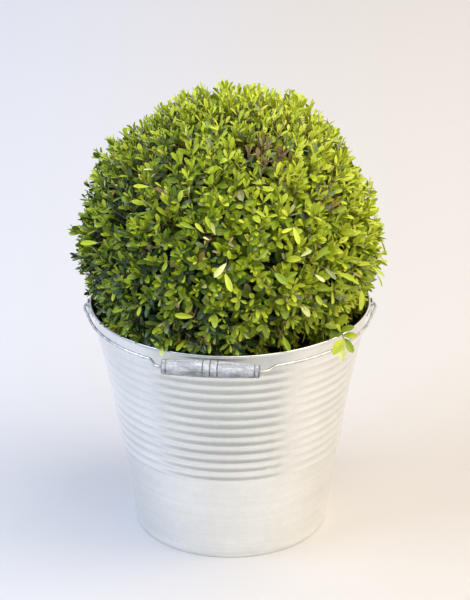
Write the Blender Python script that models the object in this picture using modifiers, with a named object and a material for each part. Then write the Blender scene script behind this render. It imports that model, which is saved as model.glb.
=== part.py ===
# Boxwood clipped to a ball, growing in a galvanised bucket with a wire bail and a turned wooden grip.
# Metres, +Z up. The origin is the middle of the bucket's foot, and the bail lies to the front, at -Y.
import math
import random

import bmesh
import bpy
from mathutils import Matrix, Vector

SEED = 11
GAP = 0.0003
MERGE = 0.00001

# The bucket: a ribbed cone of thin sheet with a rolled rim and a folded seam as its foot.
BUCKET_HEIGHT = 0.248
FOOT_RADIUS = 0.0995
RIM_INNER_RADIUS = 0.1418
SHEET = 0.0008
BEAD_RADIUS = 0.0015
BEAD_NECK = 0.0042
BUCKET_STEPS = 48
RIB_COUNT = 13
RIB_PITCH = 0.0105
RIB_HEIGHT = 0.0009
FIRST_RIB_DEPTH = 0.0256
SEAM_HEIGHT = 0.0052
SEAM_OUT = 0.0006
SEAM_IN = 0.0018
SEAM_SHOULDER = 0.0010
SEAM_STEP = 0.0002
WALL_SLOPE = (RIM_INNER_RADIUS + SHEET - FOOT_RADIUS) / BUCKET_HEIGHT
WALL_LEAN = math.atan(WALL_SLOPE)
# The wall draws in a little between its foot and its neck.
WAIST_DEPTH = 0.0030
WAIST_TOP = 0.228
WAIST_SCALE = 6.75
WAIST_STEPS = 6

# The root ball in its soil, filled to a little below the rim.
SOIL_TOP = 0.218
SOIL_DOME = 0.003
SOIL_CROWN = 0.055
SOIL_EDGE = 0.012
SOIL_EDGE_DROP = 0.004
SOIL_GAP = 0.0005

# The ears: a hat-shaped strap on each side, riveted to the wall, with the bail's hole in its crown.
PIVOT_HEIGHT = 0.2415
EAR_MIDDLE = 0.2395
EAR_HEIGHT = 0.0120
EAR_SHEET = 0.0013
EAR_CROWN_FACE = 0.0034
EAR_CROWN_HALF = 0.0075
EAR_HALF_WIDTH = 0.0165
EAR_HOLE_RADIUS = 0.0020
RIVET_RADIUS = 0.0021
RIVET_HEIGHT = 0.0012
RIVET_PLACE = 0.0126
RIVET_SEAT = 0.0003

# The bail, in its own plane: a half circle just outside the rim, fuller in front, straight through the grip.
WIRE_RADIUS = 0.0015
BAIL_RADIUS = 0.1467
BAIL_BULGE = 0.0055
BAIL_REST_DROP = math.radians(1.2)
BAIL_SHOULDER = math.radians(6.5)
BAIL_LAST_TURN = math.radians(80)
BAIL_STEPS = 96
BAIL_STRAIGHT = 0.0030
EAR_SIDE_X = 0.1487
EAR_SIDE_RUN = 0.004
HOOK_RADIUS = 0.0027
WIRE_END_X = 0.1428
WIRE_HEAD_RADIUS = 0.0026
WIRE_HEAD_HEIGHT = 0.0012

# The grip: turned wood on the straight of the wire, a little left of the middle.
GRIP_LENGTH = 0.096
GRIP_RADIUS = 0.0079
GRIP_BORE = 0.0018
GRIP_REACH = 0.1532
GRIP_TURN = math.radians(-7.0)
GRIP_STEPS = 20
GROOVE_DEPTH = 0.0007
GROOVE_WIDTH = 0.0018
GROOVE_PITCH = 0.0072
GRIP_END = (
    (0.72, 0.0),
    (0.90, 0.0008),
    (0.95, 0.0024),
    (0.88, 0.0043),
    (0.95, 0.0058),
    (0.97, 0.0150),
)

# The plant: a short stem, and one clipped mass of twigs and leaves round a smaller core.
BALL_HEIGHT = 0.3096
BALL_SHIFT = 0.0040
BALL_RADIUS = 0.1562
CLIP_PLAY = 0.0045
STEM_FOOT_RADIUS = 0.0125
STEM_RADIUS = 0.0082
STEM_TOP = 0.243
STEM_FLARE = 0.012
STEM_STEPS = 12
STUB_SINK = 0.010
CORE_RADIUS = 0.119
CORE_FLAT = 0.250
CORE_SKIRT = 0.17
CORE_DETAIL = 3
CORE_ROOT_RISE = 0.008
TWIG_COUNT = 176
TWIG_ROOT_DEPTH = 0.012
TWIG_RADIUS = 0.0024
TWIG_TIP_RADIUS = 0.0018
TWIG_LOW = -0.60
TWIG_SWAY = 0.12
TWIG_RISE_SWAY = 0.03
LEAF_LENGTH = 0.029
LEAF_WIDTH = 0.0160
LEAF_THICK = 0.0012
LEAF_SPACING = 0.0128
LEAF_MARKS = (0.35, 0.65, 0.95)
LEAF_SWAY = 0.2
LEAF_LEAN_SWAY = 8.0
LEAF_SINK = 0.0007
LEAF_OFFSET = 0.0005
TIP_SINK = 0.0018
TIP_SPREAD = 0.0070
LEAF_PAIRS = ((1.0, 33.0), (0.62, 62.0))
RIM_CLEAR = 0.0009
SOIL_CLEAR = 0.002
WIRE_CLEAR_TURN = math.radians(5.6)
GRIP_CLEAR_TURN = math.radians(8.0)
GRIP_CLEAR_WIDTH = math.radians(24)
BAIL_CLEAR = 0.0012
BAIL_CLEAR_BACK = 0.004

BALL_CENTRE = Vector((0.0, BALL_SHIFT, BALL_HEIGHT))


def clear_scene():
    for old in list(bpy.data.objects):
        bpy.data.objects.remove(old, do_unlink=True)


def make_collection(name):
    made = bpy.data.collections.new(name)
    bpy.context.scene.collection.children.link(made)
    return made


def make_material(name, color, roughness, metallic):
    material = bpy.data.materials.new(name)
    material.use_nodes = True
    shader = material.node_tree.nodes["Principled BSDF"]
    shader.inputs["Base Color"].default_value = (*color, 1.0)
    shader.inputs["Roughness"].default_value = roughness
    shader.inputs["Metallic"].default_value = metallic
    return material


def add_object(name, data, material, collection):
    made = bpy.data.objects.new(name, data)
    data.materials.append(material)
    collection.objects.link(made)
    return made


def mesh_from_bmesh(name, work):
    mesh = bpy.data.meshes.new(name)
    work.to_mesh(mesh)
    work.free()
    return mesh


def shade(target):
    target.data.shade_smooth()
    target.data.set_sharp_from_angle(angle=math.radians(35))


def mesh_of_curve(source):
    # A bevelled curve as a closed mesh in place, with its caps welded on.
    bpy.context.view_layer.update()
    evaluated = source.evaluated_get(bpy.context.evaluated_depsgraph_get())
    mesh = bpy.data.meshes.new_from_object(evaluated)
    work = bmesh.new()
    work.from_mesh(mesh)
    bmesh.ops.remove_doubles(work, verts=work.verts, dist=MERGE)
    work.to_mesh(mesh)
    work.free()
    name = source.name
    collection = source.users_collection[0]
    place = source.matrix_world.copy()
    bpy.data.objects.remove(source, do_unlink=True)
    made = bpy.data.objects.new(name, mesh)
    made.matrix_world = place
    collection.objects.link(made)
    return made


def turned(name, profile, closed, steps, material, collection):
    # A profile of (radius, height) points, running down its outer side, turned about Z.
    mesh = bpy.data.meshes.new(name)
    points = [(radius, 0.0, height) for radius, height in profile]
    edges = [(i, i + 1) for i in range(len(points) - 1)]
    if closed:
        edges.append((len(points) - 1, 0))
    mesh.from_pydata(points, edges, [])
    made = add_object(name, mesh, material, collection)
    screw = made.modifiers.new("turn", "SCREW")
    screw.axis = "Z"
    screw.angle = math.tau
    screw.steps = steps
    screw.render_steps = steps
    screw.use_merge_vertices = True
    screw.merge_threshold = MERGE
    screw.use_smooth_shade = True
    return made


def apply_modifiers(target):
    # Keeps the shape that the modifiers give, and drops the modifiers.
    bpy.context.view_layer.update()
    evaluated = target.evaluated_get(bpy.context.evaluated_depsgraph_get())
    mesh = bpy.data.meshes.new_from_object(evaluated)
    target.modifiers.clear()
    target.data = mesh


def boolean(target, tool, operation):
    modifier = target.modifiers.new(operation.lower(), "BOOLEAN")
    modifier.operation = operation
    modifier.solver = "EXACT"
    modifier.object = tool
    apply_modifiers(target)
    bpy.data.objects.remove(tool, do_unlink=True)


def wall_outer(height):
    share = min(max(height / WAIST_TOP, 0.0), 1.0)
    return FOOT_RADIUS + WALL_SLOPE * height - WAIST_DEPTH * WAIST_SCALE * share ** 2 * (1 - share)


def side_heights(low, high):
    # Heights that follow the drawn-in wall, from low to high.
    return [low + (high - low) * step / WAIST_STEPS for step in range(WAIST_STEPS + 1)]


def wall_inner(height):
    return wall_outer(height) - SHEET


def make_bucket_wall(material, collection):
    # The rolled rim.
    bead_x = RIM_INNER_RADIUS + BEAD_RADIUS
    bead_z = BUCKET_HEIGHT - BEAD_RADIUS
    profile = []
    for angle in (180, 135, 90, 45, 0, -45, -90, -125):
        turn = math.radians(angle)
        profile.append((bead_x + BEAD_RADIUS * math.cos(turn), bead_z + BEAD_RADIUS * math.sin(turn)))
    neck = BUCKET_HEIGHT - BEAD_NECK
    profile.append((wall_outer(neck), neck))

    # The ribs, each a crest with a valley below it.
    above = BUCKET_HEIGHT - FIRST_RIB_DEPTH + RIB_PITCH / 2
    profile.append((wall_outer(above), above))
    for rib in range(RIB_COUNT):
        crest = BUCKET_HEIGHT - FIRST_RIB_DEPTH - rib * RIB_PITCH
        valley = crest - RIB_PITCH / 2
        profile.append((wall_outer(crest) + RIB_HEIGHT, crest))
        profile.append((wall_outer(valley), valley))

    # The folded foot, and the plain inner face back up to the rim.
    shoulder = SEAM_HEIGHT + SEAM_SHOULDER
    profile.append((wall_outer(shoulder), shoulder))
    profile.append((wall_outer(SEAM_HEIGHT) + SEAM_OUT, SEAM_HEIGHT))
    profile.append((FOOT_RADIUS + SEAM_OUT, 0.0))
    profile.append((FOOT_RADIUS - SEAM_IN, 0.0))
    profile.append((wall_outer(SEAM_HEIGHT) - SEAM_IN, SEAM_HEIGHT))
    for height in side_heights(SEAM_HEIGHT + SEAM_STEP, WAIST_TOP):
        profile.append((wall_inner(height), height))
    return turned("bucket_wall", profile, True, BUCKET_STEPS, material, collection)


def make_bucket_bottom(material, collection):
    # A flat disc that lies on the fold of the foot.
    low = SEAM_HEIGHT + SEAM_STEP + GAP
    high = low + SHEET
    profile = [(0.0, high), (wall_inner(high) - GAP, high), (wall_inner(low) - GAP, low), (0.0, low)]
    return turned("bucket_bottom", profile, False, BUCKET_STEPS, material, collection), high


def make_soil(floor, material, collection):
    low = floor + GAP
    edge = SOIL_TOP - SOIL_EDGE_DROP
    profile = [
        (0.0, SOIL_TOP + SOIL_DOME),
        (SOIL_CROWN, SOIL_TOP + SOIL_DOME * 0.8),
        (wall_inner(SOIL_TOP) - SOIL_EDGE, SOIL_TOP),
    ]
    profile += [(wall_inner(height) - SOIL_GAP, height) for height in reversed(side_heights(low, edge))]
    profile.append((0.0, low))
    return turned("soil", profile, False, BUCKET_STEPS, material, collection)


def ear_outline(wall_face):
    # Seen from above with X outward: flange, web, crown, web, flange, then back along the outside.
    crown = wall_face + EAR_CROWN_FACE
    inner = []
    outer = []
    for side in (-1, 1):
        flange = [EAR_HALF_WIDTH, (EAR_HALF_WIDTH + EAR_CROWN_HALF) / 2, EAR_CROWN_HALF]
        if side == 1:
            flange.reverse()
        for place in flange:
            drop = wall_face - math.sqrt(wall_face ** 2 - place ** 2)
            inner.append((wall_face - drop, side * place))
            outer.append((wall_face - drop + EAR_SHEET, side * place))
        if side == -1:
            inner.append((crown, -EAR_CROWN_HALF + EAR_SHEET * 0.5))
            inner.append((crown, EAR_CROWN_HALF - EAR_SHEET * 0.5))
    low_foot, high_foot = outer[2], outer[3]
    outer[2] = (low_foot[0], low_foot[1] - EAR_SHEET)
    outer[3] = (high_foot[0], high_foot[1] + EAR_SHEET)
    crown_outer = [
        (crown + EAR_SHEET, -EAR_CROWN_HALF - EAR_SHEET * 0.3),
        (crown + EAR_SHEET, EAR_CROWN_HALF + EAR_SHEET * 0.3),
    ]
    outer = outer[:3] + crown_outer + outer[3:]
    return inner + outer[::-1]


def make_ear(name, side, material, collection):
    # The outline is extruded up the wall's slope. Local X points out of the wall.
    wall_face = wall_outer(EAR_MIDDLE) + GAP
    curve = bpy.data.curves.new(name, "CURVE")
    curve.dimensions = "2D"
    curve.fill_mode = "BOTH"
    curve.extrude = EAR_HEIGHT / 2
    outline = ear_outline(wall_face)
    spline = curve.splines.new("POLY")
    spline.points.add(len(outline) - 1)
    for point, (x, y) in zip(spline.points, outline):
        point.co = (x - wall_face, y, 0.0, 1.0)
    spline.use_cyclic_u = True
    drawn = bpy.data.objects.new(name, curve)
    collection.objects.link(drawn)
    ear = mesh_of_curve(drawn)

    # The rivet heads, sunk a little into the flanges.
    for y in (-RIVET_PLACE, RIVET_PLACE):
        drop = wall_face - math.sqrt(wall_face ** 2 - y ** 2)
        work = bmesh.new()
        bmesh.ops.create_cone(
            work,
            cap_ends=True,
            segments=12,
            radius1=RIVET_RADIUS,
            radius2=RIVET_RADIUS * 0.6,
            depth=RIVET_HEIGHT + 2 * RIVET_SEAT,
        )
        rivet = bpy.data.objects.new("rivet", mesh_from_bmesh("rivet", work))
        collection.objects.link(rivet)
        reach = EAR_SHEET - drop + RIVET_HEIGHT / 2 - RIVET_SEAT
        rivet.matrix_world = Matrix.Translation((reach, y, 0.0)) @ Matrix.Rotation(math.pi / 2, 4, "Y")
        boolean(ear, rivet, "UNION")

    # The hole that the bail hooks through.
    work = bmesh.new()
    bmesh.ops.create_cone(
        work,
        cap_ends=True,
        segments=16,
        radius1=EAR_HOLE_RADIUS,
        radius2=EAR_HOLE_RADIUS,
        depth=EAR_SHEET * 4,
    )
    cutter = bpy.data.objects.new("ear_hole", mesh_from_bmesh("ear_hole", work))
    collection.objects.link(cutter)
    crown_middle = EAR_CROWN_FACE + EAR_SHEET / 2
    rise = (PIVOT_HEIGHT - EAR_MIDDLE) / math.cos(WALL_LEAN) + crown_middle * math.tan(WALL_LEAN)
    cutter.matrix_world = (
        Matrix.Translation((crown_middle, 0.0, rise))
        @ Matrix.Rotation(math.pi / 2, 4, "Y")
    )
    boolean(ear, cutter, "DIFFERENCE")

    turn = 0.0 if side > 0 else math.pi
    ear.matrix_world = (
        Matrix.Rotation(turn, 4, "Z")
        @ Matrix.Translation((wall_face, 0.0, EAR_MIDDLE))
        @ Matrix.Rotation(WALL_LEAN, 4, "Y")
    )

    # The flanges end below the rolled rim, and only the crown rises past it.
    work = bmesh.new()
    bmesh.ops.create_cone(
        work,
        cap_ends=True,
        segments=BUCKET_STEPS,
        radius1=RIM_INNER_RADIUS + 2 * BEAD_RADIUS + GAP,
        radius2=RIM_INNER_RADIUS + 2 * BEAD_RADIUS + GAP,
        depth=0.02,
        matrix=Matrix.Translation((0.0, 0.0, BUCKET_HEIGHT - 2 * BEAD_RADIUS - GAP + 0.01)),
    )
    rim_space = bpy.data.objects.new("rim_space", mesh_from_bmesh("rim_space", work))
    collection.objects.link(rim_space)
    boolean(ear, rim_space, "DIFFERENCE")
    ear.data.materials.clear()
    ear.data.materials.append(material)
    shade(ear)
    return ear


def bail_radius(turn):
    # The wire's distance from the bucket's axis at each turn from the front, in the bail's plane.
    half = math.atan2(GRIP_LENGTH / 2 + BAIL_STRAIGHT, GRIP_REACH)
    away = abs(turn - GRIP_TURN)
    if away <= half:
        return GRIP_REACH / math.cos(away)
    shoulder = GRIP_REACH / math.cos(half)
    fall = min((away - half) / BAIL_SHOULDER, 1.0)
    sweep = BAIL_RADIUS + BAIL_BULGE * math.cos(turn) ** 2
    return sweep + (shoulder - sweep) * (1 + math.cos(math.pi * fall)) / 2


def bail_points():
    # Hook end, sweep along one ear, half circle, sweep along the other ear, hook end.
    middle = []
    for step in range(BAIL_STEPS + 1):
        turn = BAIL_LAST_TURN * (2 * step / BAIL_STEPS - 1)
        radius = bail_radius(turn)
        middle.append((radius * math.sin(turn), radius * math.cos(turn)))
    hook = []
    for angle in (0, 30, 60, 90):
        turn = math.radians(angle)
        x = EAR_SIDE_X - HOOK_RADIUS + HOOK_RADIUS * math.cos(turn)
        hook.append((x, HOOK_RADIUS - HOOK_RADIUS * math.sin(turn)))
    start_x, start_v = middle[-1]
    side_v = HOOK_RADIUS + EAR_SIDE_RUN
    ease = []
    for share in (0.33, 0.67):
        x = start_x + (EAR_SIDE_X - start_x) * math.sin(share * math.pi / 2)
        ease.append((x, start_v + (side_v - start_v) * share))
    right = ease + [(EAR_SIDE_X, side_v)] + hook + [(WIRE_END_X, 0.0)]
    left = [(-x, v) for x, v in reversed(right)]
    return left + middle + right


def make_bail_wire(parent, material, collection):
    points = bail_points()
    curve = bpy.data.curves.new("bail_wire", "CURVE")
    curve.dimensions = "3D"
    curve.bevel_depth = WIRE_RADIUS
    curve.bevel_resolution = 2
    curve.use_fill_caps = True
    spline = curve.splines.new("POLY")
    spline.points.add(len(points) - 1)
    for point, (x, forward) in zip(spline.points, points):
        point.co = (x, -forward, 0.0, 1.0)
    drawn = bpy.data.objects.new("bail_wire", curve)
    collection.objects.link(drawn)
    wire = mesh_of_curve(drawn)

    # The upset ends that keep the hooks in the ears.
    for side in (-1, 1):
        work = bmesh.new()
        bmesh.ops.create_cone(
            work,
            cap_ends=True,
            segments=12,
            radius1=WIRE_HEAD_RADIUS,
            radius2=WIRE_HEAD_RADIUS,
            depth=WIRE_HEAD_HEIGHT,
        )
        head = bpy.data.objects.new("wire_head", mesh_from_bmesh("wire_head", work))
        collection.objects.link(head)
        place = side * (WIRE_END_X + WIRE_HEAD_HEIGHT / 2 - GAP)
        head.matrix_world = Matrix.Translation((place, 0.0, 0.0)) @ Matrix.Rotation(math.pi / 2, 4, "Y")
        boolean(wire, head, "UNION")
    wire.data.materials.clear()
    wire.data.materials.append(material)
    shade(wire)
    wire.parent = parent
    return wire


def make_wooden_grip(parent, material, collection):
    half = GRIP_LENGTH / 2
    upper = [(GRIP_RADIUS * share, half - depth) for share, depth in GRIP_END]
    lower = [(radius, -height) for radius, height in reversed(upper)]
    grooves = []
    for groove in (1, 0, -1):
        place = groove * GROOVE_PITCH
        grooves.append((GRIP_RADIUS, place + GROOVE_WIDTH / 2))
        grooves.append((GRIP_RADIUS - GROOVE_DEPTH, place))
        grooves.append((GRIP_RADIUS, place - GROOVE_WIDTH / 2))
    profile = upper + grooves + lower + [(GRIP_BORE, -half), (GRIP_BORE, half)]
    grip = turned("wooden_grip", profile, True, GRIP_STEPS, material, collection)

    # The grip's own axis lies along the wire's straight.
    middle = Vector((GRIP_REACH * math.sin(GRIP_TURN), -GRIP_REACH * math.cos(GRIP_TURN), 0.0))
    grip.parent = parent
    grip.location = middle
    grip.rotation_euler = (0.0, math.pi / 2, GRIP_TURN)
    return grip


def make_main_stem(material, collection):
    foot = SOIL_TOP + SOIL_DOME + GAP
    profile = [
        (0.0, STEM_TOP),
        (STEM_RADIUS, STEM_TOP),
        (STEM_RADIUS * 1.08, foot + STEM_FLARE),
        (STEM_FOOT_RADIUS, foot),
        (0.0, foot),
    ]
    return turned("main_stem", profile, False, STEM_STEPS, material, collection)


def in_bail_path(point):
    # The bail sweeps from hanging against the wall up to where its grip would press into the leaves.
    if point.y > BAIL_CLEAR_BACK:
        return False
    reach = math.hypot(point.y, point.z - PIVOT_HEIGHT)
    lift = math.atan2(point.z - PIVOT_HEIGHT, -point.y)
    out = math.hypot(point.x, reach) + BAIL_CLEAR
    if abs(math.atan2(point.x, reach) - GRIP_TURN) < GRIP_CLEAR_WIDTH:
        return lift < GRIP_CLEAR_TURN and out > GRIP_REACH - GRIP_RADIUS
    return lift < WIRE_CLEAR_TURN and out > BAIL_RADIUS - WIRE_RADIUS


def leaves_space(points):
    # True where a twig or a leaf would leave the clipped ball, or reach the soil, the bucket or the bail.
    low = min(point.z for point in points)
    wide = max(math.hypot(point.x, point.y) for point in points)
    if low < SOIL_TOP + SOIL_DOME + SOIL_CLEAR:
        return True
    if low < BUCKET_HEIGHT + RIM_CLEAR and wide > RIM_INNER_RADIUS - RIM_CLEAR:
        return True
    for point in points:
        if (point - BALL_CENTRE).length > BALL_RADIUS + CLIP_PLAY or in_bail_path(point):
            return True
        across = math.hypot(point.x, point.y)
        if point.z < BUCKET_HEIGHT and across > wall_inner(point.z) - RIM_CLEAR:
            return True
    return False


def core_skirt(height):
    # Below its middle the core keeps wide, so that it fills the bucket's mouth.
    depth = max(BALL_HEIGHT - max(height, CORE_FLAT), 0.0)
    return 1.0 + CORE_SKIRT * depth / CORE_RADIUS


def twig_line(index, chance):
    # Twigs are dealt out evenly by the golden angle, and each aims at its own place on the clipped face.
    height = 1.0 - (index + 0.5) / TWIG_COUNT * (1.0 - TWIG_LOW)
    turn = index * math.pi * (3.0 - math.sqrt(5.0)) + chance.uniform(-TWIG_SWAY, TWIG_SWAY)
    height += chance.uniform(-TWIG_RISE_SWAY, TWIG_RISE_SWAY)
    height = min(max(height, TWIG_LOW), 0.999)
    across = math.sqrt(1.0 - height ** 2)
    aim = Vector((across * math.cos(turn), across * math.sin(turn), height))
    root = BALL_CENTRE + aim * (CORE_RADIUS - TWIG_ROOT_DEPTH)
    low = CORE_FLAT + CORE_ROOT_RISE
    if root.z < low:
        ring = math.sqrt(CORE_RADIUS ** 2 - (low - BALL_HEIGHT) ** 2) * core_skirt(low) - TWIG_ROOT_DEPTH
        root = Vector((ring * math.cos(turn), BALL_SHIFT + ring * math.sin(turn), low))
    lead = LEAF_LENGTH * math.cos(math.radians(LEAF_PAIRS[0][1]))
    tip = BALL_CENTRE + aim * (BALL_RADIUS - lead - chance.uniform(-0.5, 0.5) * TIP_SPREAD)
    return root, tip


def leaf_matrix(place, along, facing):
    # A frame with Y along the leaf, X across it and Z through its thickness.
    across = along.cross(facing).normalized()
    through = across.cross(along).normalized()
    turn = Matrix((across, along, through)).transposed().to_4x4()
    size = Matrix.Diagonal((LEAF_WIDTH / 2, LEAF_LENGTH / 2, LEAF_THICK / 2, 1.0))
    middle = place + along * (LEAF_LENGTH / 2 - LEAF_SINK)
    return Matrix.Translation(middle) @ turn @ size


def twig_leaves(root, tip, chance):
    # Opposite pairs, each pair turned a quarter from the last, more upright towards the twig's tip.
    axis = (tip - root).normalized()
    side = axis.orthogonal().normalized()
    side.rotate(Matrix.Rotation(chance.uniform(0.0, math.tau), 3, axis))
    found = []
    for number, (share, lean) in enumerate(LEAF_PAIRS):
        place = root.lerp(tip, share)
        if share == 1.0:
            place -= axis * TIP_SINK
        for half in (0, 1):
            out = side.copy()
            turn = math.pi / 2 * number + math.pi * half + chance.uniform(-LEAF_SWAY, LEAF_SWAY)
            out.rotate(Matrix.Rotation(turn, 3, axis))
            angle = math.radians(lean + chance.uniform(-LEAF_LEAN_SWAY, LEAF_LEAN_SWAY))
            along = (axis * math.cos(angle) + out * math.sin(angle)).normalized()
            found.append((place + out * LEAF_OFFSET, along, axis))
    return found


def make_foliage_ball(material, collection, scraps):
    chance = random.Random(SEED)

    # The core, flat below, with the stub of the mass's own stem under it.
    work = bmesh.new()
    bmesh.ops.create_icosphere(work, subdivisions=CORE_DETAIL, radius=CORE_RADIUS)
    bmesh.ops.translate(work, verts=work.verts, vec=BALL_CENTRE)
    for vert in work.verts:
        skirt = core_skirt(vert.co.z)
        vert.co.x *= skirt
        vert.co.y *= skirt
        vert.co.z = max(vert.co.z, CORE_FLAT)
    ball = add_object("foliage_ball", mesh_from_bmesh("foliage_ball", work), material, collection)
    work = bmesh.new()
    stub_low = STEM_TOP + GAP
    stub_high = CORE_FLAT + STUB_SINK
    place = Matrix.Translation((0.0, 0.0, (stub_low + stub_high) / 2))
    bmesh.ops.create_cone(
        work,
        cap_ends=True,
        segments=STEM_STEPS,
        radius1=STEM_RADIUS,
        radius2=STEM_RADIUS,
        depth=stub_high - stub_low,
        matrix=place,
    )
    stub = bpy.data.objects.new("stub", mesh_from_bmesh("stub", work))
    scraps.objects.link(stub)

    # The twigs and their leaves, each a closed shape until the union joins them.
    taken = []
    for index in range(TWIG_COUNT):
        root, tip = twig_line(index, chance)
        leaves = twig_leaves(root, tip, chance)
        if leaves_space([tip]):
            continue
        axis = tip - root
        place = (
            Matrix.Translation((root + tip) / 2)
            @ axis.to_track_quat("Z", "Y").to_matrix().to_4x4()
        )
        work = bmesh.new()
        bmesh.ops.create_cone(
            work,
            cap_ends=True,
            segments=3,
            radius1=TWIG_RADIUS,
            radius2=TWIG_TIP_RADIUS,
            depth=axis.length,
            matrix=place,
        )
        twig = bpy.data.objects.new("twig", mesh_from_bmesh("twig", work))
        scraps.objects.link(twig)
        own = []
        for place, along, facing in leaves:
            marks = [place + along * LEAF_LENGTH * share for share in LEAF_MARKS]
            crowded = any((mark - other).length < LEAF_SPACING for mark in marks for other in taken)
            turn = leaf_matrix(place, along, facing)
            corners = [turn @ Vector(corner) for corner in ((0, 1, 0), (1, 0, 0), (-1, 0, 0), (0, -1, 0))]
            if crowded or leaves_space(corners):
                continue
            own.extend(marks)
            work = bmesh.new()
            bmesh.ops.create_uvsphere(
                work,
                u_segments=4,
                v_segments=2,
                radius=1.0,
                matrix=turn,
            )
            leaf = bpy.data.objects.new("leaf", mesh_from_bmesh("leaf", work))
            scraps.objects.link(leaf)
        taken.extend(own)

    union = ball.modifiers.new("join", "BOOLEAN")
    union.operation = "UNION"
    union.operand_type = "COLLECTION"
    union.collection = scraps
    union.solver = "MANIFOLD"
    apply_modifiers(ball)
    for scrap in list(scraps.objects):
        bpy.data.objects.remove(scrap, do_unlink=True)
    keep_largest_piece(ball)
    ball.data.materials.clear()
    ball.data.materials.append(material)
    return ball


def keep_largest_piece(target):
    # Drops the loose scraps and the closed hollows that the union leaves.
    work = bmesh.new()
    work.from_mesh(target.data)
    work.verts.ensure_lookup_table()
    pieces = []
    seen = set()
    for start in work.verts:
        if start in seen:
            continue
        piece = []
        seen.add(start)
        edge_of_search = [start]
        while edge_of_search:
            vert = edge_of_search.pop()
            piece.append(vert)
            for edge in vert.link_edges:
                other = edge.other_vert(vert)
                if other not in seen:
                    seen.add(other)
                    edge_of_search.append(other)
        pieces.append(piece)
    pieces.sort(key=len)
    for piece in pieces[:-1]:
        bmesh.ops.delete(work, geom=piece, context="VERTS")
    work.to_mesh(target.data)
    work.free()


def main():
    clear_scene()
    collection = make_collection("potted_boxwood")
    scraps = make_collection("foliage_pieces")

    zinc = make_material("galvanised_steel", (0.60, 0.61, 0.60), 0.42, 1.0)
    zinc_bottom = make_material("galvanised_bottom", (0.55, 0.56, 0.56), 0.5, 1.0)
    ear_steel = make_material("ear_steel", (0.52, 0.53, 0.53), 0.45, 1.0)
    wire_steel = make_material("wire_steel", (0.42, 0.42, 0.41), 0.4, 1.0)
    wood = make_material("whitewashed_wood", (0.55, 0.52, 0.47), 0.75, 0.0)
    earth = make_material("potting_soil", (0.06, 0.045, 0.03), 0.95, 0.0)
    bark = make_material("boxwood_bark", (0.30, 0.26, 0.19), 0.85, 0.0)
    leaf = make_material("boxwood_leaf", (0.22, 0.36, 0.07), 0.5, 0.0)

    make_bucket_wall(zinc, collection)
    bottom, floor = make_bucket_bottom(zinc_bottom, collection)
    make_soil(floor, earth, collection)
    make_ear("ear_right", 1, ear_steel, collection)
    make_ear("ear_left", -1, ear_steel, collection)

    # The bail and its grip hang from an empty on the line through both ears.
    pivot = bpy.data.objects.new("bail_pivot", None)
    collection.objects.link(pivot)
    pivot.location = (0.0, 0.0, PIVOT_HEIGHT)
    pivot.rotation_euler = (BAIL_REST_DROP, 0.0, 0.0)
    make_bail_wire(pivot, wire_steel, collection)
    make_wooden_grip(pivot, wood, collection)

    make_main_stem(bark, collection)
    make_foliage_ball(leaf, collection, scraps)
    bpy.data.collections.remove(scraps)


main()
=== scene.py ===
import math
import random

import bpy
import numpy as np
from mathutils import Matrix, Vector, noise


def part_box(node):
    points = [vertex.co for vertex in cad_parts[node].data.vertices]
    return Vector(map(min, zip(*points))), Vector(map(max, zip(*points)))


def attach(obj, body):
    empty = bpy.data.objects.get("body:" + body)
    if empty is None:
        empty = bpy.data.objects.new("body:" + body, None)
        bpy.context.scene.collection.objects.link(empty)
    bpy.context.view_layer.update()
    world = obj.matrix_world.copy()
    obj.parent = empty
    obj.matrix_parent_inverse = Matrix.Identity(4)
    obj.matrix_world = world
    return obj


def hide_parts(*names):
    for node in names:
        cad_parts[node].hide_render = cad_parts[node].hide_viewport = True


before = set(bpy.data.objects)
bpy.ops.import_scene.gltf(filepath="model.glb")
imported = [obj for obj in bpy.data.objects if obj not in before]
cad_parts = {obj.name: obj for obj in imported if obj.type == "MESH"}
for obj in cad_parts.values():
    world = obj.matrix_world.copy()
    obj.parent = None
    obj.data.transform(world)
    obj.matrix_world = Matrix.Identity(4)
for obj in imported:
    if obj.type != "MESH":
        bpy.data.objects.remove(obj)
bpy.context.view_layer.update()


# colours and finishes

def shown(red, green, blue):
    # a colour as it reads on the screen, from 0 to 255, turned into the linear colour that a shader takes
    linear = []
    for value in (red, green, blue):
        value = value / 255
        linear.append(value / 12.92 if value <= 0.04045 else ((value + 0.055) / 1.055) ** 2.4)
    return (*linear, 1.0)


class Signal:
    # one output socket; sums and products on it add Math nodes
    def __init__(self, graph, socket):
        self.graph = graph
        self.socket = socket

    def math(self, operation, *values):
        return self.graph.node("ShaderNodeMath", {"operation": operation}, dict(enumerate(values)))

    def __add__(self, other):
        return self.math("ADD", self, other)

    def __radd__(self, other):
        return self.math("ADD", other, self)

    def __sub__(self, other):
        return self.math("SUBTRACT", self, other)

    def __rsub__(self, other):
        return self.math("SUBTRACT", other, self)

    def __mul__(self, other):
        return self.math("MULTIPLY", self, other)

    def __rmul__(self, other):
        return self.math("MULTIPLY", other, self)

    def ramp(self, low, high):
        # 0 under low, 1 over high, smooth between
        settings = {"interpolation_type": "SMOOTHSTEP"}
        sockets = {"Value": self, "From Min": low, "From Max": high}
        return self.graph.node("ShaderNodeMapRange", settings, sockets, "Result")

    def other(self, name):
        return Signal(self.graph, self.socket.node.outputs[name])


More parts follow.
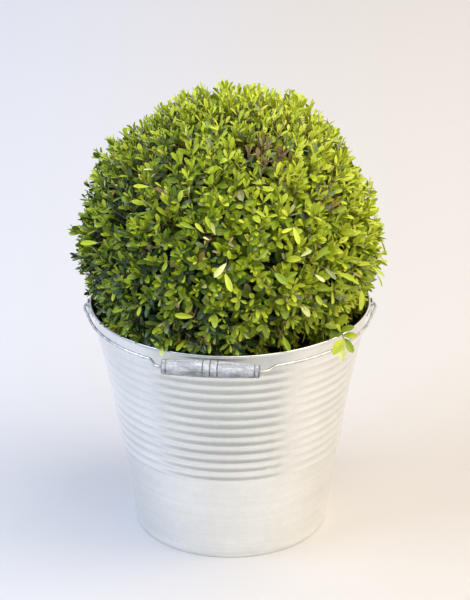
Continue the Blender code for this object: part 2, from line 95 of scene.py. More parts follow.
class Graph:
    # a node tree whose nodes are added one by one
    def __init__(self, tree):
        self.tree = tree

    def node(self, kind, settings, sockets, out=0):
        made = self.tree.nodes.new(kind)
        for name, value in settings.items():
            setattr(made, name, value)
        for name, value in sockets.items():
            if isinstance(value, Signal):
                self.tree.links.new(value.socket, made.inputs[name])
            else:
                made.inputs[name].default_value = value
        return Signal(self, made.outputs[out])

    def vector(self, operation, *values, out="Vector"):
        return self.node("ShaderNodeVectorMath", {"operation": operation}, dict(enumerate(values)), out)

    def apart(self, place, axis):
        return self.node("ShaderNodeSeparateXYZ", {}, {0: place}, axis)

    def mix(self, share, first, second, blend="MIX"):
        settings = {"data_type": "RGBA", "blend_type": blend}
        return self.node("ShaderNodeMix", settings, {0: share, 6: first, 7: second}, 2)


class Finish(Graph):
    # a material round a Principled BSDF
    def __init__(self, name, colour, roughness, metallic=0.0):
        self.material = bpy.data.materials.new(name)
        self.material.use_nodes = True
        super().__init__(self.material.node_tree)
        self.shader = self.tree.nodes["Principled BSDF"]
        self.shader.inputs["Base Color"].default_value = colour
        self.shader.inputs["Roughness"].default_value = roughness
        self.shader.inputs["Metallic"].default_value = metallic

    def place(self, stretch=(1, 1, 1), turn=(0, 0, 0), centre=(0, 0, 0)):
        # the object's own coordinates, centred, turned, then stretched
        here = self.node("ShaderNodeTexCoord", {}, {}, "Object")
        here = self.vector("SUBTRACT", here, centre)
        here = self.node("ShaderNodeMapping", {"vector_type": "POINT"}, {"Vector": here, "Rotation": turn})
        return self.node("ShaderNodeMapping", {"vector_type": "POINT"}, {"Vector": here, "Scale": stretch})

    def cloud(self, place, scale, detail=3.0, roughness=0.5):
        sockets = {"Vector": place, "Scale": scale, "Detail": detail, "Roughness": roughness}
        return self.node("ShaderNodeTexNoise", {}, sockets, "Fac")

    def cells(self, place, scale):
        return self.node("ShaderNodeTexVoronoi", {}, {"Vector": place, "Scale": scale}, "Distance")

    def cellShade(self, cells):
        return self.node("ShaderNodeSeparateColor", {}, {0: cells.other("Color")})

    def feed(self, name, signal):
        self.tree.links.new(signal.socket, self.shader.inputs[name])

    def relief(self, height, strength, depth):
        sockets = {"Height": height, "Strength": strength, "Distance": depth}
        self.feed("Normal", self.node("ShaderNodeBump", {}, sockets, "Normal"))


zincLook = {
    "pale": shown(252, 252, 248), "dull": shown(233, 234, 231), "spot": shown(248, 249, 248),
    "spangle": 210, "streak": 260, "roughness": 0.30,
}


chalkDrops = (
    # dried drops on the front of the wall
    (-0.0099, -0.1304, 0.1903), (-0.0333, -0.1238, 0.1782), (-0.0151, -0.1264, 0.1696),
    (-0.0108, -0.1268, 0.1695), (0.0182, -0.1211, 0.1465), (-0.0204, -0.1178, 0.1254),
)


def zincFinish(name, look, shade=1.0, drops=()):
    # dull hot-dipped zinc: faint spangle, rolling lines round the sheet and small chalky spots; shade paints
    # shade over all of it, and where drops are given the rim gets painted shade at its left
    zinc = Finish(name, look["pale"], look["roughness"], 1.0)
    here = zinc.place()
    spangle = zinc.cellShade(zinc.cells(here, look["spangle"]))
    cloud = zinc.cloud(here, 16, 5, 0.6)
    lines = zinc.cloud(zinc.place(stretch=(5, 5, look["streak"])), 1.0, 3, 0.6)
    grain = zinc.cloud(here, 420, 2, 0.5)
    tone = (0.40 * cloud + 0.05 * spangle + 0.34 * lines + 0.22 * grain).ramp(0.28, 0.76)
    colour = zinc.mix(tone, look["dull"], look["pale"])
    # shade darkens the whole colour: painted shade, on the bottom inside the bucket and on the ears under the
    # rim
    colour = zinc.mix(1.0, colour, (shade, shade, shade, 1.0), "MULTIPLY")
    if drops:
        # painted shade: the rolled rim turns darker and bluer towards the left, on its side away from the
        # light
        high = zinc.apart(here, "Z")
        dull = high.ramp(0.2450, 0.2462) * (1 - high.other("X").ramp(-0.085, -0.015))
        colour = zinc.mix(0.5 * dull, colour, shown(120, 126, 134))
    spots = zinc.cells(here, 75)
    size = zinc.cloud(here, 9, 1, 0.5)
    chosen = zinc.cellShade(spots).ramp(0.70, 0.80) * size.ramp(0.44, 0.56)
    chalk = (1 - spots.ramp(0.06, 0.12)) * chosen
    for drop in drops:
        away = zinc.vector("DISTANCE", here, drop, out="Value")
        chalk = chalk.math("MAXIMUM", chalk, 1 - away.ramp(0.0006, 0.0020))
    zinc.feed("Base Color", zinc.mix(chalk, colour, look["spot"]))
    zinc.feed("Metallic", 1 - 0.6 * chalk)
    zinc.feed("Roughness", look["roughness"] - 0.04 + 0.10 * cloud + 0.03 * spangle + 0.25 * chalk)
    zinc.relief(0.5 * lines + 0.35 * grain + 0.3 * cloud, 0.16, 0.0003)
    return zinc.material


def wireFinish():
    # bright drawn wire with a thin grey film
    wire = Finish("drawnWire", shown(220, 220, 214), 0.3, 1.0)
    cloud = wire.cloud(wire.place(), 130, 4, 0.6)
    wire.feed("Base Color", wire.mix(cloud.ramp(0.35, 0.7), shown(186, 188, 190), shown(240, 238, 230)))
    wire.feed("Roughness", 0.30 + 0.22 * cloud)
    return wire.material


def whitewashFinish(turn):
    # grey weathered wood with a rubbed coat of white wash, its grain along the grip
    wood = Finish("whitewashedWood", shown(190, 190, 196), 0.75)
    along = wood.place(turn=(0, 0, -turn), stretch=(26, 330, 330))
    grain = wood.cloud(along, 1.0, 5, 0.65)
    rubbed = wood.cloud(wood.place(turn=(0, 0, -turn), stretch=(70, 190, 190)), 1.0, 6, 0.7)
    chips = wood.cloud(wood.place(), 260, 3, 0.6)
    bare = wood.mix(grain.ramp(0.28, 0.60), shown(134, 133, 136), shown(172, 172, 175))
    wash = rubbed.ramp(0.44, 0.56) * (0.45 + 0.55 * chips.ramp(0.35, 0.6))
    wood.feed("Base Color", wood.mix(wash, bare, shown(211, 211, 215)))
    wood.feed("Roughness", 0.82 - 0.18 * wash)
    wood.relief(0.7 * grain + 0.5 * wash, 0.55, 0.0006)
    return wood.material


def grooveShadeFinish():
    # painted shade: the dark in the turned grooves, in the coves and round the ends of the grip
    grooveShade = Finish("groovePaintedShade", shown(110, 111, 116), 0.8)
    cloud = grooveShade.cloud(grooveShade.place(), 300, 4, 0.6)
    grooveShade.feed("Base Color", grooveShade.mix(cloud.ramp(0.35, 0.65), shown(94, 95, 100), shown(152, 153, 158)))
    grooveShade.relief(cloud, 0.4, 0.0004)
    return grooveShade.material


def soilFinish(name, dark, light):
    # damp peat: dark, crumbly, with paler fibres
    soil = Finish(name, dark, 0.95)
    here = soil.place()
    crumbs = soil.cloud(here, 190, 6, 0.7)
    fibres = soil.cloud(soil.place(stretch=(420, 60, 200)), 1.0, 3, 0.5)
    colour = soil.mix(crumbs.ramp(0.38, 0.72), dark, light)
    soil.feed("Base Color", soil.mix(0.5 * fibres.ramp(0.62, 0.74), colour, shown(122, 98, 72)))
    soil.relief(crumbs + 0.5 * fibres, 0.8, 0.0020)
    return soil.material


def barkFinish(name, dark, light, scale):
    # fissured bark, its cracks running up the stem
    bark = Finish(name, light, 0.85)
    cracks = bark.cloud(bark.place(stretch=(scale, scale, scale * 0.3)), 1.0, 6, 0.68)
    lichen = bark.cloud(bark.place(), scale * 0.25, 4, 0.6)
    colour = bark.mix(cracks.ramp(0.36, 0.64), dark, light)
    bark.feed("Base Color", bark.mix(0.45 * lichen.ramp(0.56, 0.70), colour, shown(140, 146, 116)))
    bark.relief(cracks, 0.7, 0.0012)
    return bark.material


def leafFinish(name, colour, warmer, roughness):
    # one tone of leaf, wandering a little towards a second tone from spray to spray and along each blade
    leaf = Finish(name, colour, roughness)
    here = leaf.place()
    spray = leaf.cloud(here, 45, 2, 0.5)
    blade = leaf.cloud(here, 260, 2, 0.5)
    share = (0.6 * spray + 0.4 * blade).ramp(0.36, 0.66)
    leaf.feed("Base Color", leaf.mix(share, colour, warmer))
    leaf.feed("Roughness", roughness - 0.06 + 0.14 * blade)
    leaf.shader.inputs["Specular IOR Level"].default_value = 0.36
    return leaf.material


# modelling

def deselectAll():
    if bpy.context.mode != "OBJECT":
        bpy.ops.object.mode_set(mode="OBJECT")
    bpy.ops.object.select_all(action="DESELECT")


def take(piece):
    deselectAll()
    piece.select_set(True)
    bpy.context.view_layer.objects.active = piece


def setPlace(piece, matrix):
    # turned and moved as an object, and the place then applied to its mesh
    piece.matrix_world = matrix
    take(piece)
    bpy.ops.object.transform_apply(location=True, rotation=True, scale=True)


def drawLine(name, points):
    # one vertex, extruded from point to point
    deselectAll()
    bpy.ops.mesh.primitive_plane_add(size=0.01, location=(0, 0, 0))
    piece = bpy.context.object
    piece.name = name
    bpy.ops.object.mode_set(mode="EDIT")
    bpy.ops.mesh.merge(type="CENTER")
    bpy.ops.transform.translate(value=points[0])
    for before, after in zip(points, points[1:]):
        step = Vector(after) - Vector(before)
        bpy.ops.mesh.extrude_region_move(TRANSFORM_OT_translate={"value": step})
    bpy.ops.object.mode_set(mode="OBJECT")
    return piece


def spinLine(name, profile, steps, closed, turn=math.tau):
    # a profile of (radius, height) points spun about Z
    piece = drawLine(name, [(radius, 0, height) for radius, height in profile])
    bpy.ops.object.mode_set(mode="EDIT")
    bpy.ops.mesh.select_all(action="SELECT")
    if closed:
        bpy.ops.mesh.edge_face_add()
        bpy.ops.mesh.delete(type="ONLY_FACE")
        bpy.ops.mesh.select_all(action="SELECT")
    bpy.ops.mesh.spin(steps=steps, angle=turn, center=(0, 0, 0), axis=(0, 0, 1))
    bpy.ops.mesh.select_all(action="SELECT")
    bpy.ops.mesh.remove_doubles(threshold=0.00001)
    bpy.ops.mesh.normals_make_consistent(inside=False)
    bpy.ops.object.mode_set(mode="OBJECT")
    return piece


def finishPiece(piece, material, body, slot, sharp=35, *nodes):
    # smooth shading, its material, and what it rides on and stands for
    take(piece)
    bpy.ops.object.shade_smooth_by_angle(angle=math.radians(sharp))
    if material is not None:
        piece.data.materials.clear()
        piece.data.materials.append(material)
    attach(piece, body)
    for node in nodes:
        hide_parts(node)
    return piece


def applyModifier(piece, kind, **settings):
    take(piece)
    bpy.ops.object.modifier_add(type=kind)
    modifier = piece.modifiers[-1]
    for name, value in settings.items():
        setattr(modifier, name, value)
    bpy.ops.object.modifier_apply(modifier=modifier.name)


def cloudTexture(name, size, depth=2):
    texture = bpy.data.textures.new(name, "CLOUDS")
    texture.noise_scale = size
    texture.noise_depth = depth
    return texture


def cutAway(piece, tool):
    applyModifier(piece, "BOOLEAN", operation="DIFFERENCE", solver="EXACT", object=tool)
    bpy.data.objects.remove(tool, do_unlink=True)


# the camera and the studio

camera = {"place": (0.0051, -2.1691, 1.1792), "tilt": 66.7104, "roll": -0.1541, "lens": 138, "film": 36}


def placeCamera():
    deselectAll()
    bpy.ops.object.camera_add()
    made = bpy.context.object
    made.name = "photoCamera"
    made.data.lens = camera["lens"]
    made.data.sensor_width = camera["film"]
    made.data.clip_end = 60
    tilt = Matrix.Rotation(math.radians(camera["tilt"]), 4, "X")
    roll = Matrix.Rotation(math.radians(camera["roll"]), 4, "Z")
    place = Matrix.Translation(camera["place"]) @ tilt @ roll
    made.matrix_world = place
    bpy.context.scene.camera = made
    return [place.col[axis].xyz for axis in range(3)]


studio = {
    "floorLeft": shown(199, 200, 208), "floorRight": shown(206, 198, 190), "floorFar": shown(150, 151, 149),
    "floorSide": shown(164, 168, 178), "floorSize": 24, "floorTurns": (-0.45, 0.35),
    "sideFrom": (-1.1, -0.38),
    "frontAim": (-0.156, -0.988, 0.0), "frontEdge": (0.52, 0.68), "frontFrom": (0.28, 0.40),
    "paintedShadow": (-0.035, -0.36, 0.0), "paintedShadowReach": (0.07, 0.17), "paintedShadowDepth": 0.75,
    "skyLeft": shown(205, 217, 242), "skyRight": shown(246, 238, 224), "skyTurns": (-0.6, 0.6),
    "front": shown(128, 130, 130), "frontTop": (0.05, 0.42), "skyStrength": 1.06,
    # name: place, what it faces, size, power, colour
    "lights": {
        "overhead": ((1.5, -1.0, 4.5), (0, 0, 0.3), 3.6, 118, (1.0, 0.98, 0.92)),
        "leftWindow": ((-4.5, -1.4, 3.5), (0, 0, 0.2), 3.6, 200, (0.68, 0.82, 1.0)),
        "rightWindow": ((4.6, -0.4, 2.8), (0, 0, 0.2), 3.2, 105, (1.0, 0.86, 0.62)),
    },
}


def areaLight(name, place, aim, size, power, colour):
    deselectAll()
    bpy.ops.object.light_add(type="AREA", location=place)
    light = bpy.context.object
    light.name = name
    light.data.size = size
    light.data.energy = power
    light.data.color = colour
    light.rotation_euler = (Vector(aim) - Vector(place)).to_track_quat("-Z", "Y").to_euler()


def layFloor():
    # pale, with painted light in its colour: cool painted shade at the left and warm painted light at the
    # right; darker and bluer far out at the left, a painted shadow in front of the bucket, and darker where
    # it lies outside the picture in front
    deselectAll()
    bpy.ops.mesh.primitive_plane_add(size=studio["floorSize"], location=(0, 0, 0))
    floor = bpy.context.object
    floor.name = "floor"
    ground = Finish("paleFloor", studio["floorRight"], 0.7)
    here = ground.place()
    across = ground.apart(here, "X")
    # painted light: the colour turns from cool shade at the left to warm light at the right
    tone = ground.mix(across.ramp(*studio["floorTurns"]), studio["floorLeft"], studio["floorRight"])
    tone = ground.mix(0.06 * ground.cloud(here, 1.5, 3, 0.5), tone, studio["floorFar"])
    tone = ground.mix(across.ramp(*studio["sideFrom"]), studio["floorSide"], tone)
    toward = ground.vector("DOT_PRODUCT", ground.vector("NORMALIZE", here), studio["frontAim"], out="Value")
    away = ground.vector("LENGTH", here, out="Value")
    front = toward.ramp(*studio["frontEdge"]) * away.ramp(*studio["frontFrom"])
    # a painted shadow on the floor in front of the bucket, of someone standing there, which the zinc wall
    # reflects as a grey patch
    paintedShadow = ground.vector("DISTANCE", here, studio["paintedShadow"], out="Value")
    paintedShadow = studio["paintedShadowDepth"] * (1 - paintedShadow.ramp(*studio["paintedShadowReach"]))
    ground.feed("Base Color", ground.mix(front + (1 - front) * paintedShadow, tone, studio["floorFar"]))
    floor.data.materials.append(ground.material)


def lightStudio():
    # a soft sky, cool from the left, warm from the right and darker low in front, and three soft lights
    world = bpy.data.worlds.new("softSky")
    bpy.context.scene.world = world
    world.use_nodes = True
    sky = Graph(world.node_tree)
    look = sky.node("ShaderNodeTexCoord", {}, {}, "Generated")
    low = 1 - sky.apart(look, "Z").ramp(*studio["frontTop"])
    front = sky.vector("DOT_PRODUCT", look, studio["frontAim"], out="Value").ramp(*studio["frontEdge"])
    left, right = studio["skyTurns"]
    sockets = {"Value": sky.apart(look, "X"), "From Min": left, "From Max": right}
    side = sky.node("ShaderNodeMapRange", {}, sockets, "Result")
    colour = sky.mix(low * front, sky.mix(side, studio["skyLeft"], studio["skyRight"]), studio["front"])
    background = world.node_tree.nodes["Background"]
    world.node_tree.links.new(colour.socket, background.inputs["Color"])
    background.inputs["Strength"].default_value = studio["skyStrength"]
    for name, light in studio["lights"].items():
        areaLight(name, *light)
    bpy.context.scene.view_settings.view_transform = "Standard"


cameraRight, cameraUp, cameraBack = placeCamera()
layFloor()
lightStudio()
print("stage: camera and studio")


# the bucket

bucket = {
    "height": 0.248, "footRadius": 0.0995, "rimInner": 0.1418, "sheet": 0.0008, "bead": 0.0011,
    "beadFrom": 190, "beadTurn": 248, "beadSteps": 16, "neck": 0.0036, "plainTop": (0.009, 0.014),
    "ribs": 13, "ribPitch": 0.0105, "ribHeight": 0.0012, "firstRib": 0.0256, "ribWidth": 0.0088,
    "ribSteps": 9, "plainSteps": 10,
    "seamHeight": 0.0052, "seamOut": 0.0006, "seamIn": 0.0018, "seamEase": 0.0012,
    "steps": 176, "dents": 0.00035, "dentSize": 0.06, "waist": 0.0030, "waistTop": 0.228,
    "lapTurn": 2.9, "lapSheet": 0.0008, "lapRound": 0.00025, "lapTop": 0.005, "bottomShade": 0.86,
}
wallSlope = (bucket["rimInner"] + bucket["sheet"] - bucket["footRadius"]) / bucket["height"]
wallLean = math.atan(wallSlope)


def wallOuter(height):
    # a cone that draws in a little between its foot and its neck
    share = min(max(height / bucket["waistTop"], 0.0), 1.0)
    return bucket["footRadius"] + wallSlope * height - bucket["waist"] * 6.75 * share ** 2 * (1 - share)


def ribRise(height):
    # how far the wall stands out at a height: rounded ribs with flats between them
    depth = bucket["height"] - bucket["firstRib"] - height
    rib = round(depth / bucket["ribPitch"])
    if not 0 <= rib < bucket["ribs"]:
        return 0.0
    away = abs(depth - rib * bucket["ribPitch"]) / (bucket["ribWidth"] / 2)
    return bucket["ribHeight"] * (1 + math.cos(math.pi * min(away, 1))) / 2


def wallHeights():
    # closely spaced where the ribs are, wide apart on the plain sheet
    top = bucket["height"] - bucket["firstRib"] + bucket["ribPitch"] / 2
    low = top - bucket["ribs"] * bucket["ribPitch"]
    heights = [bucket["height"] - depth for depth in (bucket["neck"], *bucket["plainTop"])]
    count = bucket["ribs"] * bucket["ribSteps"]
    heights += [top - (top - low) * step / count for step in range(count + 1)]
    plain = bucket["plainSteps"]
    foot = bucket["seamHeight"] + bucket["seamEase"]
    heights += [low - (low - foot) * step / plain for step in range(1, plain + 1)]
    return heights


def makeBucketWall():
    # the rolled rim, the ribbed wall down to its folded foot, and the same way back up inside
    bead = bucket["bead"]
    beadX, beadZ = bucket["rimInner"] + bead, bucket["height"] - bead
    outer = []
    for step in range(bucket["beadSteps"] + 1):
        turn = math.radians(bucket["beadFrom"] - step * bucket["beadTurn"] / bucket["beadSteps"])
        outer.append((beadX + bead * math.cos(turn), beadZ + bead * math.sin(turn)))
    startX, startZ = outer[-1]
    neck = bucket["height"] - bucket["neck"]
    for share in (0.3, 0.6, 0.85):
        height = startZ + (neck - startZ) * share
        outer.append((startX + (wallOuter(neck) - startX) * (1 - (1 - share) ** 2), height))
    heights = wallHeights()
    outer += [(wallOuter(height) + ribRise(height), height) for height in heights]
    seam, out, into = bucket["seamHeight"], bucket["seamOut"], bucket["seamIn"]
    foot = bucket["footRadius"]
    above = wallOuter(seam)
    outer += [
        (above + out * 0.7, seam + 0.0004), (above + out, seam - 0.0004),
        (foot + out, 0.0010), (foot + out * 0.6, 0.0003), (foot, 0.0), (foot - into * 0.6, 0.0),
        (foot - into, 0.0005), (above - into, seam - 0.0003), (above - into * 0.8, seam + 0.0002),
    ]
    inner = [(wallOuter(height) + ribRise(height) - bucket["sheet"], height) for height in reversed(heights)]
    wall = spinLine("bucketWall", outer + inner, bucket["steps"], True)
    wobble = cloudTexture("wallDents", bucket["dentSize"])
    for way in ("X", "Y"):
        applyModifier(wall, "DISPLACE", texture=wobble, texture_coords="GLOBAL", direction=way,
                      strength=bucket["dents"], mid_level=0.5)
    sheet = zincFinish("galvanisedSheet", zincLook, 1.0, chalkDrops)
    finishPiece(wall, sheet, "bucket", "galvanised_steel", 40, "bucket_wall")


def makeLapSeam():
    # the lock seam up the back, where the sheet's two ends fold into each other
    half = bucket["lapTurn"] / 2
    heights = [height for height in wallHeights() if height < bucket["height"] - bucket["lapTop"]]
    profile = [(wallOuter(height) + ribRise(height) * 0.6 + 0.0002, height) for height in heights]
    seam = spinLine("bucketLapSeam", profile, 6, False, math.radians(2 * half))
    take(seam)
    applyModifier(seam, "SOLIDIFY", thickness=bucket["lapSheet"], offset=1.0)
    applyModifier(seam, "BEVEL", width=bucket["lapRound"], segments=2, angle_limit=math.radians(60))
    setPlace(seam, Matrix.Rotation(math.radians(90 - half), 4, "Z"))
    finishPiece(seam, bpy.data.materials["galvanisedSheet"], "bucket", "galvanised_steel", 40)


def makeBucketBottom():
    # the disc that lies on the folded foot, with a pressed ring that stiffens it
    low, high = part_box("bucket_bottom")
    edge = high.x
    ring = [(0.0, 0.0), (0.30, 0.0), (0.335, 0.0007), (0.37, 0.0007), (0.405, 0.0), (0.80, 0.0)]
    ring += [(0.84, 0.0009), (0.88, 0.0009), (0.92, 0.0), (1.0, 0.0)]
    top = [(edge * share, high.z + rise) for share, rise in ring]
    ring[-1] = (1 - 0.0001 / edge, 0.0)    # the edge leans in a little under the disc
    under = [(edge * share, low.z + rise) for share, rise in reversed(ring)]
    disc = spinLine("bucketBottom", top + under, 96, False)
    finish = zincFinish("galvanisedBottom", zincLook, bucket["bottomShade"])
    finishPiece(disc, finish, "bucket", "galvanised_steel", 30, "bucket_bottom")


makeBucketWall()
makeLapSeam()
makeBucketBottom()
print("stage: bucket")


# the ears and the bail

ear = {
    "pivot": 0.2415, "middle": 0.2395, "height": 0.0120, "sheet": 0.0013, "crownFace": 0.0034,
    "crownHalf": 0.0075, "crownDraw": 0.0020, "halfWidth": 0.0165, "hole": 0.0020, "edge": 0.00018,
    "shade": 0.82, "rimRoom": 0.02,
    "rivetRadius": 0.0021, "rivetHeight": 0.0012, "rivetSunk": 0.0006, "rivetPlace": 0.0126, "gap": 0.0003,
}


def makeEars():
    # a strap drawn along its middle line, raised, thickened and bevelled, cut under the rim, then riveted
    face = wallOuter(ear["middle"]) + ear["gap"]
    half = ear["sheet"] / 2
    crown = ear["crownFace"] + half
    line = []
    for share in range(9):
        across = -ear["halfWidth"] + (ear["halfWidth"] - ear["crownHalf"]) * share / 8
        line.append((math.sqrt(face ** 2 - across ** 2) - face + half, across, 0))
    foot = line[-1][0]
    for share in (0.15, 0.4, 0.65, 0.88, 1.0):
        rise = (1 - math.cos(math.pi * share)) / 2
        line.append((foot + (crown - foot) * rise, -ear["crownHalf"] + ear["crownDraw"] * share, 0))
    line += [(crown, 0, 0)] + [(x, -across, z) for x, across, z in reversed(line)]
    strap = drawLine("earLeft", line)
    bpy.ops.object.mode_set(mode="EDIT")
    bpy.ops.mesh.select_all(action="SELECT")
    bpy.ops.transform.translate(value=(0, 0, -ear["height"] / 2))
    bpy.ops.mesh.extrude_region_move(TRANSFORM_OT_translate={"value": (0, 0, ear["height"])})
    bpy.ops.mesh.select_all(action="SELECT")
    bpy.ops.mesh.normals_make_consistent(inside=False)
    bpy.ops.object.mode_set(mode="OBJECT")
    applyModifier(strap, "SOLIDIFY", thickness=ear["sheet"], offset=0.0, use_even_offset=True)
    rise = (ear["pivot"] - ear["middle"]) / math.cos(wallLean) + crown * math.tan(wallLean)
    deselectAll()
    bpy.ops.mesh.primitive_cylinder_add(
        vertices=32, radius=ear["hole"], depth=ear["height"] / 2, location=(crown, 0, rise),
        rotation=(0, math.pi / 2, 0),
    )
    cutAway(strap, bpy.context.object)
    applyModifier(strap, "BEVEL", width=ear["edge"], segments=2, angle_limit=math.radians(50))

    place = Matrix.Translation((face, 0, ear["middle"])) @ Matrix.Rotation(wallLean, 4, "Y")
    setPlace(strap, place)
    # room for the rolled rim above it
    rimOut = bucket["rimInner"] + 2 * bucket["bead"] + ear["gap"]
    under = bucket["height"] - 2 * bucket["bead"] - ear["gap"]
    deselectAll()
    bpy.ops.mesh.primitive_cylinder_add(
        vertices=96, radius=rimOut, depth=ear["rimRoom"], location=(0, 0, under + ear["rimRoom"] / 2)
    )
    cutAway(strap, bpy.context.object)

    dome = []
    for step in range(7):
        turn = math.pi / 2 * step / 6
        radius = ear["rivetRadius"] * math.sin(turn) if step else 0.0
        dome.append((radius, ear["rivetHeight"] * math.cos(turn)))
    dome += [(ear["rivetRadius"], -ear["rivetSunk"]), (0.0, -ear["rivetSunk"])]
    for side in (-1, 1):
        rivet = spinLine("rivet", dome, 20, False)
        across = side * ear["rivetPlace"]
        out = math.sqrt(face ** 2 - across ** 2) - face + ear["sheet"]
        setPlace(rivet, place @ Matrix.Translation((out, across, 0)) @ Matrix.Rotation(math.pi / 2, 4, "Y"))
        take(strap)
        rivet.select_set(True)
        bpy.ops.object.join()

    right = strap.copy()
    right.data = strap.data.copy()
    bpy.context.scene.collection.objects.link(right)
    right.name = "earRight"
    setPlace(strap, Matrix.Rotation(math.pi, 4, "Z"))
    finish = zincFinish("galvanisedEar", zincLook, ear["shade"])
    finishPiece(strap, finish, "bucket", "ear_steel", 35, "ear_left")
    finishPiece(right, finish, "bucket", "ear_steel", 35, "ear_right")


bail = {
    "wire": 0.0015, "radius": 0.1467, "bulge": 0.0055, "drop": math.radians(1.2),
    "straight": 0.0030, "shoulder": math.radians(6.5), "lastTurn": math.radians(80), "steps": 150,
    "sideX": 0.1487, "sideRun": 0.004, "sideSteps": 6, "hook": 0.0027, "endX": 0.1428,
    "headRadius": 0.0026, "headHeight": 0.0012, "headSunk": 0.0003,
}
grip = {
    "length": 0.096, "radius": 0.0086, "endShare": 0.955, "thinner": 0.145, "bore": 0.0018, "reach": 0.1532,
    "turn": math.radians(-7.0), "steps": 48, "barrel": 0.06, "runSteps": 8, "grain": 0.00025,
    "grooves": (-0.0072, 0.0, 0.0072), "grooveDepth": 0.0007, "grooveWidth": 0.0013,
    "cove": (0.0040, 0.0056), "endShade": 0.0010,
    "endBead": ((0.72, 0.0), (0.88, 0.0004), (0.94, 0.0012), (0.955, 0.0022), (0.94, 0.0033), (0.885, 0.0040),
                (0.885, 0.0047), (0.945, 0.0054), (0.965, 0.0062), (0.965, 0.0110), (0.98, 0.0165)),
}


def bailRadius(turn):
    # how far the wire runs from the middle: straight through the grip, a shoulder, then a wide sweep
    half = math.atan2(grip["length"] / 2 + bail["straight"], grip["reach"])
    away = abs(turn - grip["turn"])
    if away <= half:
        return grip["reach"] / math.cos(away)
    shoulder = grip["reach"] / math.cos(half)
    fall = min((away - half) / bail["shoulder"], 1.0)
    sweep = bail["radius"] + bail["bulge"] * math.cos(turn) ** 2
    return sweep + (shoulder - sweep) * (1 + math.cos(math.pi * fall)) / 2


def bailPlace():
    return Matrix.Translation((0, 0, ear["pivot"])) @ Matrix.Rotation(bail["drop"], 4, "X")


def makeBailWire():
    # one run of wire: hook, side, half circle through the grip, side, hook
    points = []
    for step in range(bail["steps"] + 1):
        turn = bail["lastTurn"] * (2 * step / bail["steps"] - 1)
        points.append((bailRadius(turn) * math.sin(turn), -bailRadius(turn) * math.cos(turn)))
    startX, startY = points[-1]
    sideY = -(bail["hook"] + bail["sideRun"])
    right = []
    for step in range(1, bail["sideSteps"]):
        share = step / bail["sideSteps"]
        x = startX + (bail["sideX"] - startX) * math.sin(share * math.pi / 2)
        right.append((x, startY + (sideY - startY) * share))
    right.append((bail["sideX"], sideY))
    for angle in range(0, 91, 15):
        turn = math.radians(angle)
        x = bail["sideX"] - bail["hook"] + bail["hook"] * math.cos(turn)
        right.append((x, -bail["hook"] + bail["hook"] * math.sin(turn)))
    right.append((bail["endX"], 0.0))
    points = [(-x, y) for x, y in reversed(right)] + points + right
    wire = drawLine("bailWire", [(x, y, 0) for x, y in points])
    bpy.ops.object.convert(target="CURVE")
    wire = bpy.context.object
    wire.data.bevel_depth = bail["wire"]
    wire.data.bevel_resolution = 3
    wire.data.use_fill_caps = True
    bpy.ops.object.convert(target="MESH")
    wire = bpy.context.object
    bpy.ops.object.mode_set(mode="EDIT")
    bpy.ops.mesh.select_all(action="SELECT")
    bpy.ops.mesh.remove_doubles(threshold=0.00001)
    bpy.ops.mesh.normals_make_consistent(inside=False)
    bpy.ops.object.mode_set(mode="OBJECT")

    # the upset ends that keep the hooks in the ears
    low, high = -bail["headHeight"] / 2, bail["headHeight"] / 2
    radius = bail["headRadius"]
    profile = [(0, high), (radius * 0.8, high), (radius, high * 0.5)]
    profile += [(radius, low * 0.5), (radius * 0.8, low), (0, low)]
    for side in (-1, 1):
        head = spinLine("wireHead", profile, 20, False)
        place = side * (bail["endX"] + bail["headHeight"] / 2 - bail["headSunk"])
        setPlace(head, Matrix.Translation((place, 0, 0)) @ Matrix.Rotation(math.pi / 2, 4, "Y"))
        take(wire)
        head.select_set(True)
        bpy.ops.object.join()
    setPlace(wire, bailPlace())
    finishPiece(wire, wireFinish(), "bail", "wire_steel", 50, "bail_wire")


